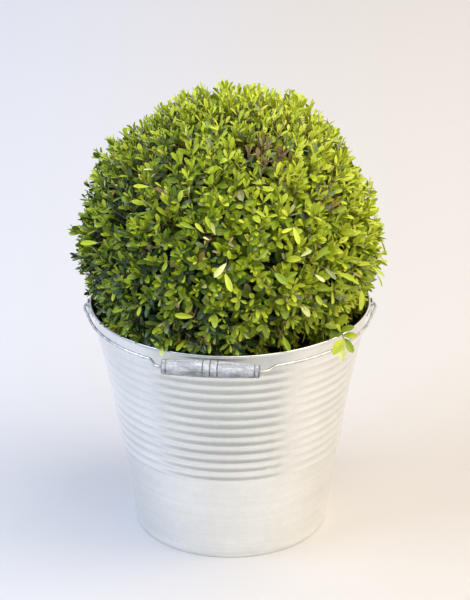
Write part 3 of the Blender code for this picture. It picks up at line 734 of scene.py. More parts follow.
def makeGrip():
    # turned on a lathe: a bead and a cove at each end, three cut lines in the middle, thinner to the right
    half = grip["length"] / 2
    upper = [(grip["radius"] * grip["endShare"] * share, half - depth) for share, depth in grip["endBead"]]
    lower = [(radius, -height) for radius, height in reversed(upper)]
    body = []
    for groove in reversed(grip["grooves"]):
        width, depth = grip["grooveWidth"] / 2, grip["grooveDepth"]
        for away in (1.6, 1.0, 0.5, 0.0, -0.5, -1.0, -1.6):
            sunk = depth * max(1 - abs(away) ** 2, 0)
            body.append((grip["radius"] - sunk, groove + away * width))
    runs = []
    for step in range(1, grip["runSteps"]):
        share = step / grip["runSteps"]
        height = upper[-1][1] + (body[0][1] - upper[-1][1]) * share
        runs.append((grip["radius"] * (1 - grip["barrel"] * (1 - math.sin(math.pi / 2 * share))), height))
    mirrored = [(radius, -height) for radius, height in reversed(runs)]
    profile = upper + runs + body + mirrored + lower + [(grip["bore"], -half), (grip["bore"], half)]
    profile = [(radius * (1 - grip["thinner"] * max(height / half, 0)), height) for radius, height in profile]
    handle = spinLine("woodenGrip", profile, grip["steps"], True)
    grain = cloudTexture("gripGrain", 0.004, 3)
    applyModifier(
        handle, "DISPLACE", texture=grain, texture_coords="LOCAL", strength=grip["grain"], mid_level=0.6
    )
    handle.data.materials.clear()
    handle.data.materials.append(whitewashFinish(grip["turn"]))
    handle.data.materials.append(grooveShadeFinish())
    # painted shade: faces in the cut lines, in the coves and at the very ends take the dark second material
    for face in handle.data.polygons:
        along = abs(face.center.z)
        cut = min(abs(face.center.z - groove) for groove in grip["grooves"]) < grip["grooveWidth"] * 0.5
        cove = grip["cove"][0] < half - along < grip["cove"][1]
        face.material_index = 1 if cut or cove or half - along < grip["endShade"] else 0
    middle = (grip["reach"] * math.sin(grip["turn"]), -grip["reach"] * math.cos(grip["turn"]), 0)
    turned = Matrix.Rotation(grip["turn"], 4, "Z") @ Matrix.Rotation(math.pi / 2, 4, "Y")
    setPlace(handle, bailPlace() @ Matrix.Translation(middle) @ turned)
    finishPiece(handle, None, "grip", "whitewashed_wood", 50, "wooden_grip")


makeEars()
makeBailWire()
makeGrip()
print("stage: ears, bail and grip")


# the soil

soil = {
    "top": 0.218, "dome": 0.003, "edge": 0.012, "drop": 0.004, "rings": 34, "sideSteps": 12, "steps": 110,
    "lumps": 0.0055, "lumpSize": 0.012, "brimGap": 0.0006, "sideGap": 0.0007, "seat": 0.0002,
    "crumbs": 420, "crumbSize": (0.0009, 0.0026), "crumbRise": 0.0004, "seed": 5,
}


def crumbShape():
    # an eight-sided lump, squashed
    deselectAll()
    bpy.ops.mesh.primitive_ico_sphere_add(subdivisions=1, radius=1, location=(0, 0, 0))
    lump = bpy.context.object
    bpy.ops.object.mode_set(mode="EDIT")
    bpy.ops.mesh.select_all(action="SELECT")
    bpy.ops.transform.resize(value=(1.0, 0.8, 0.6))
    bpy.ops.object.mode_set(mode="OBJECT")
    corners = np.array([vertex.co for vertex in lump.data.vertices])
    faces = [tuple(face.vertices) for face in lump.data.polygons]
    bpy.data.objects.remove(lump, do_unlink=True)
    return corners, faces


def meshPiece(name, points, faces):
    mesh = bpy.data.meshes.new(name)
    mesh.from_pydata(points, [], faces)
    piece = bpy.data.objects.new(name, mesh)
    bpy.context.scene.collection.objects.link(piece)
    return piece


def joinedCopies(name, shape, frames):
    # one mesh from many copies of a small shape, each with its own 4x4 frame
    corners, faces = shape
    frames = np.array([[list(row) for row in frameMatrix] for frameMatrix in frames])
    points = np.einsum("nij,kj->nki", frames[:, :3, :3], corners) + frames[:, None, :3, 3]
    count = len(corners)
    rows = []
    for copy in range(len(frames)):
        rows += [tuple(corner + copy * count for corner in face) for face in faces]
    return meshPiece(name, points.reshape(-1, 3).tolist(), rows)


def makeSoil():
    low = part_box("soil")[0]
    edgeRadius = wallOuter(soil["top"]) - bucket["sheet"] - soil["edge"]
    profile = [(0.0, soil["top"] + soil["dome"])]
    for step in range(1, soil["rings"] + 1):
        share = step / soil["rings"]
        profile.append((edgeRadius * share, soil["top"] + soil["dome"] * (1 - share ** 2)))
    brim = soil["top"] - soil["drop"]
    wallRadius = wallOuter(brim) - bucket["sheet"] - soil["brimGap"]
    profile += [((edgeRadius + wallRadius) / 2, soil["top"] - soil["drop"] * 0.35), (wallRadius, brim)]
    foot = low.z + soil["seat"]
    for step in range(1, soil["sideSteps"] + 1):
        height = brim + (foot - brim) * step / soil["sideSteps"]
        profile.append((wallOuter(height) - bucket["sheet"] - soil["sideGap"], height))
    profile.append((0.0, foot))
    ball = spinLine("soilAndRootBall", profile, soil["steps"], False)
    group = ball.vertex_groups.new(name="surface")
    for vertex in ball.data.vertices:
        reach = math.hypot(vertex.co.x, vertex.co.y)
        onTop = vertex.co.z > soil["top"] - soil["drop"] * 0.5
        group.add([vertex.index], 1.0 if onTop and reach < edgeRadius else 0.0, "REPLACE")
    lumps = cloudTexture("soilLumps", soil["lumpSize"], 4)
    applyModifier(
        ball, "DISPLACE", texture=lumps, texture_coords="GLOBAL", strength=soil["lumps"], mid_level=0.62,
        direction="Z", vertex_group="surface",
    )
    peat = soilFinish("peat", shown(26, 20, 18), shown(66, 52, 44))
    finishPiece(ball, peat, "bucket", "potting_soil", 60, "soil")

    chance = random.Random(soil["seed"])
    frames = []
    for crumb in range(soil["crumbs"]):
        turn = chance.uniform(0, math.tau)
        reach = edgeRadius * math.sqrt(chance.uniform(0.05, 0.98))
        height = soil["top"] + soil["dome"] * (1 - (reach / edgeRadius) ** 2) + soil["crumbRise"]
        size = chance.uniform(*soil["crumbSize"])
        angle = chance.uniform(0, math.tau)
        tilt = Matrix.Rotation(angle, 4, Vector((chance.random(), chance.random(), 1)).normalized())
        place = Matrix.Translation((reach * math.cos(turn), reach * math.sin(turn), height))
        frames.append(place @ tilt @ Matrix.Scale(size, 4))
    crumbs = joinedCopies("soilCrumbs", crumbShape(), frames)
    loose = soilFinish("crumbs", shown(44, 34, 28), shown(104, 84, 66))
    finishPiece(crumbs, loose, "bucket", "potting_soil", 60)


makeSoil()
print("stage: soil")


# the wood of the plant

plant = {
    "centre": Vector((0.0, 0.004, 0.3096)), "radius": 0.1562, "core": 0.119, "coreFlat": 0.250,
    "lowest": -0.62, "seed": 11, "clipPlay": 0.0120, "upward": 0.34, "droop": 1.6, "axisPlay": 0.22,
    "stemFoot": 0.01125, "stem": 0.00656, "stemTop": 0.262, "stemSunk": 0.004, "stemSteps": 8,
    "boughs": 15, "boughReach": 0.084, "boughRise": 0.018, "boughOut": 0.008, "boughLowest": -0.42,
    "boughEnds": (0.0046, 0.0022), "boughSteps": 9,
    "branches": 140, "branchFrom": 0.072, "branchRise": 0.006, "branchEnds": (0.0021, 0.0012),
    "branchSteps": 6,
    "twigs": 2100, "innerTwigs": 420, "inner": (0.108, 0.128), "innerSize": 1.15,
}
goldenTurn = math.pi * (3 - math.sqrt(5))


def dealtAim(index, count, lowest, chance):
    # directions dealt out evenly over the ball by the golden angle
    height = 1 - (index + 0.5) / count * (1 - lowest)
    turn = index * goldenTurn + chance.uniform(-0.12, 0.12)
    height = min(max(height + chance.uniform(-0.03, 0.03), lowest), 0.999)
    across = math.sqrt(1 - height ** 2)
    return Vector((across * math.cos(turn), across * math.sin(turn), height))


def bentPoint(start, control, end, share):
    return start * (1 - share) ** 2 + control * 2 * share * (1 - share) + end * share ** 2


def bentPath(start, control, end, steps):
    return [bentPoint(start, control, end, step / steps) for step in range(steps + 1)]


def tubes(name, paths, sides):
    # closed tapering tubes along paths of points, each with its (first, last) radius
    points, faces = [], []
    ring = [(math.cos(math.tau * k / sides), math.sin(math.tau * k / sides)) for k in range(sides)]
    for path, (first, last) in paths:
        base = len(points)
        side = (path[1] - path[0]).orthogonal().normalized()
        for number, point in enumerate(path):
            ahead = path[min(number + 1, len(path) - 1)] - path[max(number - 1, 0)]
            ahead.normalize()
            side = (side - ahead * side.dot(ahead)).normalized()
            up = ahead.cross(side)
            radius = first + (last - first) * number / (len(path) - 1)
            for across, over in ring:
                points.append(point + (side * across + up * over) * radius)
        for number in range(len(path) - 1):
            for k in range(sides):
                a, b = base + number * sides + k, base + number * sides + (k + 1) % sides
                faces.append((a, b, b + sides, a + sides))
        faces.append(tuple(base + k for k in reversed(range(sides))))
        faces.append(tuple(base + (len(path) - 1) * sides + k for k in range(sides)))
    return meshPiece(name, [tuple(point) for point in points], faces)


def growBoughs(chance):
    # a short stem that breaks into boughs just over the soil
    foot = soil["top"] + soil["dome"] - plant["stemSunk"]
    steps = plant["stemSteps"]
    stemLine = []
    for step in range(steps + 1):
        height = foot + (plant["stemTop"] - foot) * step / steps
        stemLine.append(Vector((0.0015 * math.sin(step * 1.3), 0.001 * math.cos(step), height)))
    wood = [(stemLine, (plant["stemFoot"], plant["stem"]))]
    boughPaths = []
    for index in range(plant["boughs"]):
        aim = dealtAim(index, plant["boughs"], plant["boughLowest"], chance)
        start = stemLine[3 + index % 6].copy()
        end = plant["centre"] + aim * plant["boughReach"]
        end.z = max(end.z, plant["coreFlat"] - 0.006)
        control = start.lerp(end, 0.45) + Vector((0, 0, plant["boughRise"])) + aim * plant["boughOut"]
        path = bentPath(start, control, end, plant["boughSteps"])
        boughPaths.append(path)
        wood.append((path, plant["boughEnds"]))
    return wood, boughPaths


def growBranches(boughPaths, chance):
    # thinner limbs, each from the nearest bough, that carry the twigs
    ends = [(path, number) for path in boughPaths for number in range(3, len(path))]
    spots = np.array([path[number] for path, number in ends])
    wood, branchPaths = [], []
    for index in range(plant["branches"]):
        aim = dealtAim(index, plant["branches"], plant["lowest"], chance)
        end = plant["centre"] + aim * (plant["core"] - 0.004)
        end.z = max(end.z, plant["coreFlat"] - 0.010)
        inner = np.array(plant["centre"] + aim * plant["branchFrom"])
        path, number = ends[int(np.argmin(((spots - inner) ** 2).sum(1)))]
        start = path[number].copy()
        control = start.lerp(end, 0.5) + Vector((0, 0, plant["branchRise"]))
        branch = bentPath(start, control, end, plant["branchSteps"])
        branchPaths.append(branch)
        wood.append((branch, plant["branchEnds"]))
    return wood, branchPaths


chance = random.Random(plant["seed"])
boughWood, boughPaths = growBoughs(chance)
branchWood, branchPaths = growBranches(boughPaths, chance)
stems = tubes("stemAndBoughs", boughWood, 12)
applyModifier(stems, "SUBSURF", levels=1, render_levels=1)
barkRelief = cloudTexture("barkRelief", 0.005, 4)
applyModifier(stems, "DISPLACE", texture=barkRelief, texture_coords="GLOBAL", strength=0.0011, mid_level=0.5)
oldBark = barkFinish("boxwoodBark", shown(74, 62, 50), shown(146, 132, 108), 240)
finishPiece(stems, oldBark, "bucket", "boxwood_bark", 60, "main_stem")
branches = tubes("branches", branchWood, 6)
youngBark = barkFinish("youngBark", shown(86, 74, 52), shown(138, 124, 86), 420)
finishPiece(branches, youngBark, "bucket", "boxwood_bark", 60, "foliage_ball")
print("stage: stem, boughs and branches")


# twigs and leaves

leafTones = {
    # name: (colour, second tone, roughness)
    "youngLeaves": (shown(208, 216, 72), shown(194, 206, 52), 0.42),
    "limeLeaves": (shown(180, 194, 46), shown(166, 182, 38), 0.38),
    "freshLeaves": (shown(148, 168, 38), shown(132, 154, 34), 0.36),
    "greenLeaves": (shown(110, 134, 36), shown(96, 120, 32), 0.34),
    "deepLeaves": (shown(66, 88, 34), shown(52, 74, 30), 0.32),
    "blueLeaves": (shown(62, 88, 58), shown(48, 72, 48), 0.30),
    "paleLeaves": (shown(224, 224, 156), shown(210, 212, 124), 0.5),
    "greyLeaves": (shown(142, 154, 108), shown(124, 138, 92), 0.5),
    "bronzeLeaves": (shown(180, 150, 74), shown(158, 136, 64), 0.5),
    "dryLeaves": (shown(160, 132, 92), shown(126, 102, 74), 0.6),
}
shoot = {
    # from the tip down: distance along the twig, lean from it in degrees, leaf length
    "pairs": ((0.0005, 20, 0.0096), (0.0040, 35, 0.0128), (0.0095, 48, 0.0146), (0.0160, 59, 0.0152),
              (0.0235, 68, 0.0158), (0.0320, 76, 0.0158)),
    "leanPlay": 15, "turnPlay": 0.5, "rollPlay": 0.45, "sizePlay": 0.24, "low": 8, "missing": 0.15,
    "twigRadius": 0.0010, "tipRadius": 0.00045, "dried": 0.72, "slim": 0.40, "attempts": 5,
}
blades = {
    # name: (width, cup, bend, keel, outline as (along, share of the width))
    "slim": (0.32, 0.32, 0.03, 0.02, ((0.14, 0.44), (0.40, 0.84), (0.68, 1.0), (0.90, 0.66))),
    "broad": (0.45, 0.20, 0.08, 0.02, ((0.13, 0.52), (0.38, 0.94), (0.66, 0.98), (0.90, 0.60))),
    "curled": (0.47, 0.30, 0.20, 0.02, ((0.13, 0.54), (0.38, 0.96), (0.66, 0.96), (0.89, 0.58))),
}
crownShape = (
    # where the clipped ball is fuller or leaner than round: aim from its middle, spread, change
    (Vector((-0.55, -0.76, -0.34)), 0.34, 0.0045), (Vector((-0.12, -0.93, -0.35)), 0.26, 0.0045),
    (Vector((0.42, -0.77, -0.475)), 0.26, -0.0150), (Vector((0.81, -0.32, -0.49)), 0.28, -0.0170),
    (Vector((0.841, 0.214, 0.497)), 0.13, -0.0060), (Vector((0.905, 0.17, 0.390)), 0.34, -0.0070),
    (Vector((0.53, 0.335, 0.779)), 0.34, 0.0065), (Vector((0.05, 0.394, 0.916)), 0.50, 0.0045),
    (Vector((-0.961, 0.11, 0.25)), 0.22, 0.0020), (Vector((0.97, 0.02, -0.10)), 0.30, 0.0015),
)
tufts = (
    # shoots that stand out of the clipped face: aim, extra reach, number
    (Vector((-0.998, 0.02, 0.06)), 0.0090, 2), (Vector((-0.826, 0.22, 0.517)), 0.0100, 2),
    (Vector((-0.01, 0.395, 0.918)), 0.0090, 2), (Vector((0.51, 0.34, 0.79)), 0.0110, 1),
    (Vector((0.934, 0.14, 0.325)), 0.0030, 3), (Vector((-0.985, -0.02, -0.13)), 0.0070, 1),
    (Vector((-0.766, 0.254, 0.590)), 0.0070, 2), (Vector((0.89, -0.20, -0.40)), 0.0070, 2),
    (Vector((0.990, -0.02, -0.12)), 0.0070, 2), (Vector((0.20, 0.95, 0.25)), 0.0070, 2),
    (Vector((-0.60, 0.72, 0.35)), 0.0080, 2),
)
keepOut = {
    "soil": 0.003, "rim": 0.0009, "wireTurn": math.radians(5.6), "gripTurn": math.radians(8.0),
    "gripEnd": 0.004, "bail": 0.0012, "back": 0.004,
}
toneRule = {
    # luck under the first three numbers gives these tones, and under the fourth a grey one
    "bronze": 0.008, "pale": 0.024, "dry": 0.034, "grey": 0.080, "paintedSheenLow": 0.10,
    # the weights for height, the right, the low left and the inside paint light and shade into the tone:
    # lighter on top and to the right, darker low at the left and deeper in; the extra grey low down is a
    # painted sheen
    "middle": 0.62, "high": 0.25, "right": 0.30, "mood": 0.22, "play": 0.26, "paintedShadeLowLeft": 0.30,
    "inside": 0.17, "insideHigh": 0.35, "blue": 0.35,
    "steps": ((0.72, "youngLeaves"), (0.48, "limeLeaves"), (0.27, "freshLeaves"), (0.08, "greenLeaves")),
    "shaded": ("deepLeaves", "deepLeaves", "blueLeaves", "dryLeaves"),
    "dried": ("dryLeaves", "dryLeaves", "bronzeLeaves", "greyLeaves"),
}
dryPatches = (
    # where old leaves have turned brown: aim from the ball's middle, spread, share of the leaves
    (Vector((0.27, -0.47, 0.84)), 0.22, 0.85), (Vector((0.62, -0.52, 0.50)), 0.15, 0.45),
    (Vector((-0.30, -0.90, -0.20)), 0.10, 0.30), (Vector((-0.45, 0.70, 0.45)), 0.18, 0.40),
)


def inBailPath(point):
    # the bail sweeps from hanging against the wall up to where its wire would press into the leaves
    if point.y > keepOut["back"]:
        return False
    reach = math.hypot(point.y, point.z - ear["pivot"])
    lift = math.atan2(point.z - ear["pivot"], -point.y)
    out = math.hypot(point.x, reach) + keepOut["bail"]
    turn = math.atan2(point.x, reach) - grip["turn"]
    if abs(out * math.sin(turn)) < grip["length"] / 2 + keepOut["gripEnd"]:
        return lift < keepOut["gripTurn"] and out * math.cos(turn) > grip["reach"] - grip["radius"]
    return lift < keepOut["wireTurn"] and out > bailRadius(math.atan2(point.x, reach)) - bail["wire"]


def leavesSpace(points, far):
    # true where a leaf would leave the clipped ball, or reach the soil, the bucket or the bail
    for point in points:
        if point.z < soil["top"] + soil["dome"] + keepOut["soil"]:
            return True
        across = math.hypot(point.x, point.y)
        if point.z < bucket["height"] and across > wallOuter(point.z) - bucket["sheet"] - keepOut["rim"]:
            return True
        beadZ = bucket["height"] - bucket["bead"]
        besideBead = math.hypot(across - bucket["rimInner"] - bucket["bead"], point.z - beadZ)
        if besideBead < bucket["bead"] + keepOut["rim"] or point.z < beadZ and across > bucket["rimInner"]:
            return True
        if (point - plant["centre"]).length > far or inBailPath(point):
            return True
    return False


def leafShape(width, cup, bend, thick, stations):
    # one blade along +Y, one unit long: raised edges, a sunk midrib and a keel under it
    last = len(stations) - 1
    corners = [(0, 0, 0), (0, 1, -bend)]
    for along, share in stations:
        half = width / 2 * share
        drop = -bend * along ** 2
        corners += [
            (-half, along, drop + cup * half), (half, along, drop + cup * half),
            (0, along, drop), (0, along, drop - thick),
        ]
    faces = []
    for side in (0, 1):
        edge = [2 + 4 * number + side for number in range(last + 1)]
        for layer in (2, 3):
            mid = [2 + 4 * number + layer for number in range(last + 1)]
            strip = [(0, edge[0], mid[0])]
            strip += [(mid[k], edge[k], edge[k + 1], mid[k + 1]) for k in range(last)]
            strip += [(mid[last], edge[last], 1)]
            if (side == 0) == (layer == 2):
                strip = [tuple(reversed(face)) for face in strip]
            faces += strip
    return np.array(corners, float), faces


def leafFrame(place, along, facing, length):
    across = along.cross(facing).normalized()
    through = across.cross(along).normalized()
    turn = Matrix((across, along, through)).transposed().to_4x4()
    return Matrix.Translation(place) @ turn @ Matrix.Scale(length, 4)


def nearness(aim, spot, spread):
    # 1 close to the spot, falling to 0 at its spread
    return min(2 * max(1 - (aim - spot.normalized()).length / spread, 0), 1)


def clipReach(aim):
    # the clipped face, a little lumpy, as shears leave it
    lump = noise.noise(aim * 2.3 + Vector((3.1, 0.4, 7.7))) + 1.2 * noise.noise(aim * 6.5)
    reach = plant["radius"] + 0.0015 + 0.0030 * lump
    for spot, spread, change in crownShape:
        reach += change * nearness(aim, spot, spread)
    return reach


def chooseTone(place, rank, mood, chance):
    # which tone a leaf takes: brighter at the young tip, with painted light on top and to the right, and
    # painted shade low, at the left and further inside
    aim = (place - plant["centre"]).normalized()
    for spot, spread, share in dryPatches:
        if chance.random() < share * nearness(aim, spot, spread):
            return chance.choice(toneRule["dried"])
    luck = chance.random()
    for tone in ("bronze", "pale", "dry"):
        if luck < toneRule[tone]:
            return tone + "Leaves"
    # more grey leaves low down: a painted sheen
    if luck < toneRule["grey"] - toneRule["paintedSheenLow"] * min(aim.z, 0) and rank > 0:
        return "greyLeaves"
    # painted light on top and to the right, painted shade deeper inside and low at the left
    score = toneRule["middle"] + toneRule["high"] * aim.z + toneRule["right"] * aim.x
    score += toneRule["mood"] * mood
    score -= toneRule["inside"] * rank * (1 - toneRule["insideHigh"] * max(aim.z, 0))
    score += chance.uniform(-toneRule["play"], toneRule["play"])
    score -= toneRule["paintedShadeLowLeft"] * max(-aim.x, 0) * max(-aim.z, 0)
    for step, tone in toneRule["steps"]:
        if score > step:
            return tone
    return "blueLeaves" if chance.random() < toneRule["blue"] else "deepLeaves"


def growTwig(tip, aim, size, twigs, leaves, ends, chance, shaded=False):
    # one shoot from the nearest branch to its tip, with opposite pairs of leaves, each a quarter turn on
    if leavesSpace([tip], plant["radius"] + 0.010):
        return
    mood = noise.noise(aim * 4.2 + Vector((1.7, 9.2, 4.4))) + chance.uniform(-0.45, 0.45)
    rise = plant["upward"] * (1.5 if aim.z > 0 else 1.0)
    rise -= plant["droop"] * max(-aim.z, 0) * max(0.6 + aim.x, 0)    # shoots low at the right hang down
    play = plant["axisPlay"]
    axis = aim + Vector((0, 0, rise)) + Vector([chance.uniform(-play, play) for k in range(3)])
    axis.normalize()
    nearest = int(np.argmin(((ends - np.array(tip)) ** 2).sum(1)))
    start = branchPaths[nearest][chance.choice((3, 4, 5, 6))].copy()
    length = (tip - start).length
    control = tip - axis * min(length * 0.6, 0.03)
    twigs.append((bentPath(start, control, tip, 5), (shoot["twigRadius"], shoot["tipRadius"])))
    side = axis.orthogonal().normalized()
    side.rotate(Matrix.Rotation(chance.uniform(0, math.tau), 3, axis))
    flatter = shoot["low"] if aim.z < 0 else 0
    for rank, (down, lean, long) in enumerate(shoot["pairs"]):
        if down > length * 0.8:
            break
        share = 1 - down / length
        place = bentPoint(start, control, tip, share)
        ahead = ((tip - control) * share + (control - start) * (1 - share)).normalized()
        for half in (0, 1):
            if chance.random() < shoot["missing"]:
                continue
            for attempt in range(shoot["attempts"]):
                # a leaf that would leave the crown's space is tried again, each time a little smaller
                out = side - ahead * side.dot(ahead)
                out.normalize()
                turn = math.pi / 2 * rank + math.pi * half
                turn += chance.uniform(-shoot["turnPlay"], shoot["turnPlay"])
                out.rotate(Matrix.Rotation(turn, 3, ahead))
                angle = math.radians(lean + flatter + chance.uniform(-shoot["leanPlay"], shoot["leanPlay"]))
                along = (ahead * math.cos(angle) + out * math.sin(angle)).normalized()
                facing = ahead.copy()
                roll = chance.uniform(-shoot["rollPlay"], shoot["rollPlay"])
                facing.rotate(Matrix.Rotation(roll, 3, along))
                grown = long * size * chance.uniform(0.80, 1.15) * (1 - 0.09 * attempt)
                turned = leafFrame(place + out * 0.0004, along, facing, grown)
                if leavesSpace([turned @ corner for corner in leafReach], plant["radius"] + 0.011):
                    continue
                slim = rank == 0 or chance.random() < shoot["slim"] - 0.1 * rank + 0.5 * abs(aim.z)
                blade = "slim" if slim else chance.choice(("broad", "broad", "curled"))
                tone = chooseTone(place, rank, mood, chance)
                # painted shade: the inner shoots take only dark tones
                if shaded:
                    tone = chance.choice(toneRule["shaded"])
                if tone == "dryLeaves":
                    turned = turned @ Matrix.Scale(shoot["dried"], 4)
                leaves[tone][blade].append(turned)
                break


def shootTip(aim, reach, size):
    return plant["centre"] + aim * (reach - shoot["pairs"][0][2] * size * 0.8)


def growCrown(chance):
    ends = np.array([path[-1] for path in branchPaths])
    twigs = []
    for index in range(plant["twigs"]):
        aim = dealtAim(index, plant["twigs"], plant["lowest"], chance)
        size = 0.95 + 0.10 * aim.x - 0.14 * aim.z + chance.uniform(-shoot["sizePlay"], shoot["sizePlay"])
        reach = clipReach(aim) - chance.random() ** 2 * plant["clipPlay"]
        growTwig(shootTip(aim, reach, size), aim, size, twigs, leaves, ends, chance)
    for index in range(plant["innerTwigs"]):
        # shaded shoots under the clipped face, which close the view through the ball; their leaves take only
        # dark tones, painted shade
        aim = dealtAim(index, plant["innerTwigs"], plant["lowest"], chance)
        tip = plant["centre"] + aim * chance.uniform(*plant["inner"])
        growTwig(tip, aim, plant["innerSize"], twigs, leaves, ends, chance, True)
    for spot, extra, count in tufts:
        for number in range(count):
            aim = (spot + Vector([chance.uniform(-0.03, 0.03) for k in range(3)])).normalized()
            reach = plant["radius"] + extra * chance.uniform(0.7, 1.0)
            growTwig(shootTip(aim, reach, 1.0), aim, 1.0, twigs, leaves, ends, chance)
    for number in range(rimShoots["count"]):
        turn = math.radians(chance.uniform(*rimShoots["turn"]))
        out = Vector((math.cos(turn), math.sin(turn), 0))
        tip = out * rimShoots["reach"] + Vector((0, 0, chance.uniform(*rimShoots["height"])))
        aim = (out + Vector((0, 0, rimShoots["sink"]))).normalized()
        growTwig(tip, aim, rimShoots["size"], twigs, leaves, ends, chance)
    return twigs


rimShoots = {
    # shoots close over the rim at the front left
    "count": 30, "turn": (-150, -86), "reach": 0.1415, "height": (0.2525, 0.2565), "size": 0.9, "sink": -0.15,
}
leafReach = (Vector((0, 1, 0)), Vector((0.22, 0.5, 0)), Vector((-0.22, 0.5, 0)))
leaves = {name: {blade: [] for blade in blades} for name in leafTones}
twigWood = growCrown(chance)


sprigs = (
    # shoots set one by one at the front: first the one that hangs over the rim at the right. Each is its path
    # and its leaves, as the distance from the tip, (right, up, towards the camera), length, tone, blade
    ((Vector((0.086, -0.070, 0.262)), Vector((0.106, -0.096, 0.268)), Vector((0.1120, -0.1045, 0.2491))), (
        (0.0000, (0.55, -0.80, 0.15), 0.0170, "freshLeaves", "broad"),
        (0.0000, (-0.62, -0.85, 0.50), 0.0200, "youngLeaves", "curled"),
        (0.0005, (-0.10, -1.00, 0.35), 0.0245, "paleLeaves", "slim"),
        (0.0035, (0.97, -0.02, 0.25), 0.0150, "limeLeaves", "broad"),
        (0.0045, (-0.85, -0.02, 0.35), 0.0140, "greenLeaves", "broad"),
        (0.0080, (-0.25, 0.35, 0.75), 0.0150, "limeLeaves", "broad"),
        (0.0085, (0.70, 0.30, 0.55), 0.0150, "freshLeaves", "curled"),
        (0.0140, (-0.80, 0.10, 0.55), 0.0160, "freshLeaves", "broad"),
        (0.0145, (0.60, 0.75, 0.25), 0.0150, "limeLeaves", "broad"),
        (0.0210, (-0.40, 0.80, 0.40), 0.0160, "greenLeaves", "broad"),
        (0.0215, (0.75, 0.45, 0.45), 0.0150, "limeLeaves", "slim"),
    )),
)

picture = {"middle": (235, 300), "long": 600}
frontLeaves = (
    # single leaves that catch the eye at the front. Foot and tip are each a pixel of the camera's 470 x 600
    # picture and the distance in mm in front of the ball's middle; then the tone and the blade
    ((226.5, 263, 154), (214, 277.5, 157), "paleLeaves", "slim"),
    ((225, 273, 153), (231.5, 292, 157), "youngLeaves", "slim"),
    ((215, 235, 156.5), (211, 222.5, 158), "paleLeaves", "slim"),
    ((211.5, 230, 158.5), (205.5, 216.5, 159.5), "limeLeaves", "slim"),
    ((204, 233, 155), (195, 223, 158), "youngLeaves", "slim"),
    ((194, 228.5, 153), (179.5, 223, 156), "freshLeaves", "slim"),
    ((209.5, 240, 156), (203, 237, 157.5), "paleLeaves", "slim"),
    ((230, 259.5, 155.5), (228.5, 250.5, 158.5), "limeLeaves", "curled"),
    ((258, 259.5, 153.5), (268.5, 249.5, 156), "freshLeaves", "slim"),
    ((293.5, 227, 144.5), (299, 244.5, 148.5), "youngLeaves", "slim"),
    ((293, 228, 144.5), (281.5, 232.5, 147.5), "youngLeaves", "slim"),
    ((267.5, 217, 151.5), (265.5, 205, 151), "limeLeaves", "slim"),
    ((268, 217, 151.5), (277.5, 215, 153.5), "limeLeaves", "slim"),
    ((266, 217.5, 152), (256, 210.5, 152.5), "limeLeaves", "slim"),
    ((300.5, 256.5, 140.5), (311.5, 250, 142.5), "paleLeaves", "slim"),
    ((315, 260.5, 132.5), (328, 246.5, 130.5), "freshLeaves", "slim"),
    ((315, 274.5, 129), (325, 282, 131), "paleLeaves", "slim"),
    ((325, 268.5, 124), (336.5, 279.5, 124.5), "greyLeaves", "slim"),
    ((338, 273, 112.5), (355, 279.5, 108), "limeLeaves", "slim"),
    ((361.5, 290, 67.5), (361.5, 310.5, 70.5), "limeLeaves", "broad"),
    ((353, 272.5, 96.5), (362, 277.5, 96), "bronzeLeaves", "slim"),
    ((381, 240, 42.5), (385.5, 253, 42.5), "greenLeaves", "slim"),
    ((372, 267, 63.5), (385, 276.5, 63.5), "limeLeaves", "slim"),
    ((377, 274, 42.5), (382.5, 287, 42.5), "freshLeaves", "slim"),
    ((274.5, 273, 147), (288.5, 284.5, 147.5), "freshLeaves", "broad"),
    ((286, 279, 142), (297.5, 272, 143), "freshLeaves", "slim"),
    ((193.5, 317, 129), (174.5, 315, 132), "limeLeaves", "slim"),
    ((124, 309, 94.5), (112, 312, 94.5), "freshLeaves", "slim"),
    ((149, 187, 128.5), (133, 186, 128.5), "limeLeaves", "slim"),
    ((98, 243, 89.5), (80, 243, 87.5), "limeLeaves", "slim"),
    ((234, 247, 154.5), (228, 243, 155.5), "dryLeaves", "broad"),
    ((220, 253, 152), (212, 251, 153), "dryLeaves", "slim"),
    ((229, 243, 155), (233, 237, 155.5), "bronzeLeaves", "slim"),
    ((282.5, 336, 109), (290, 351.5, 104.5), "freshLeaves", "slim"),
    ((150, 338, 96.5), (159, 346, 101), "limeLeaves", "slim"),
    ((204, 334, 118), (210, 346, 116), "bronzeLeaves", "slim"),
    ((163, 326, 101), (155, 334.5, 97), "youngLeaves", "slim"),
    ((170, 338.5, 99.5), (162, 348, 97), "greenLeaves", "slim"),
    ((165, 338, 91.5), (166, 351, 102.5), "freshLeaves", "broad"),
    ((154, 336, 88.5), (157, 348.5, 99.5), "greenLeaves", "slim"),
    ((185, 341, 101.5), (176, 350.5, 105.5), "limeLeaves", "slim"),
    ((188, 341, 102.5), (190, 352, 108.5), "greenLeaves", "slim"),
    ((161, 341, 95), (162, 356.5, 101.5), "paleLeaves", "slim"),
)


def seenAt(across, down, near):
    # the point that the camera sees at a pixel, so far in front of the ball's middle
    eye = Vector(camera["place"])
    focus = camera["lens"] / camera["film"] * picture["long"]
    right, up = (across - picture["middle"][0]) / focus, (picture["middle"][1] - down) / focus
    depth = (eye - plant["centre"]).dot(cameraBack) - near / 1000
    return eye + (cameraRight * right + cameraUp * up - cameraBack) * depth


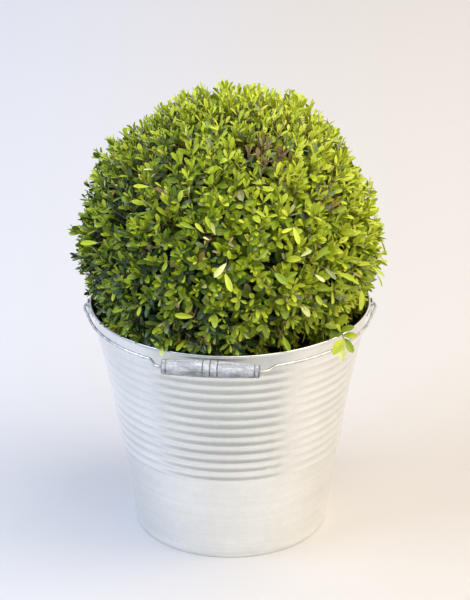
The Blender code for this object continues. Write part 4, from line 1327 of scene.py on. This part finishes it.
def growSprigs():
    for (start, control, end), placed in sprigs:
        twigWood.append((bentPath(start, control, end, 8), (0.0009, 0.0005)))
        for down, (across, rise, near), length, tone, blade in placed:
            along = (cameraRight * across + cameraUp * rise + cameraBack * near).normalized()
            facing = (cameraBack + Vector((0, 0, 0.6))).normalized()
            place = bentPoint(start, control, end, 1 - down / (end - start).length)
            leaves[tone][blade].append(leafFrame(place, along, facing, length))
    for foot, tip, tone, blade in frontLeaves:
        foot, tip = seenAt(*foot), seenAt(*tip)
        start = plant["centre"].lerp(foot, 0.8)
        control = start.lerp(foot, 0.5) + Vector((0, 0, 0.003))
        twigWood.append((bentPath(start, control, foot, 4), (0.0006, 0.0004)))
        along = tip - foot
        facing = (foot - plant["centre"]).normalized() + Vector((0, 0, 0.5))
        leaves[tone][blade].append(leafFrame(foot, along.normalized(), facing.normalized(), along.length))


def joinLeaves(name, kinds, shapes):
    # all leaves of one tone, shuffled and dealt out to pieces that the export takes whole
    dealt = [(blade, turned) for blade, frames in kinds.items() for turned in frames]
    random.Random(3).shuffle(dealt)
    finish = leafFinish(name, *leafTones[name])
    for number, first in enumerate(range(0, len(dealt), leavesPerPiece)):
        share = dealt[first:first + leavesPerPiece]
        joined = []
        for blade, shape in shapes.items():
            frames = [turned for kind, turned in share if kind == blade]
            if frames:
                joined.append(joinedCopies(name, shape, frames))
        take(joined[0])
        for extra in joined[1:]:
            extra.select_set(True)
        if len(joined) > 1:
            bpy.ops.object.join()
        joined[0].name = name + str(number + 1)
        finishPiece(joined[0], finish, "bucket", "boxwood_leaf", 14, "foliage_ball")
    print("stage:", name, len(dealt), "leaves")


growSprigs()
twigs = tubes("twigs", twigWood, 4)
greenBark = barkFinish("greenTwig", shown(112, 98, 62), shown(172, 152, 112), 500)
finishPiece(twigs, greenBark, "bucket", "boxwood_bark", 60, "foliage_ball")
leavesPerPiece = 5800
shapes = {name: leafShape(*look) for name, look in blades.items()}
for name, kinds in leaves.items():
    joinLeaves(name, kinds, shapes)
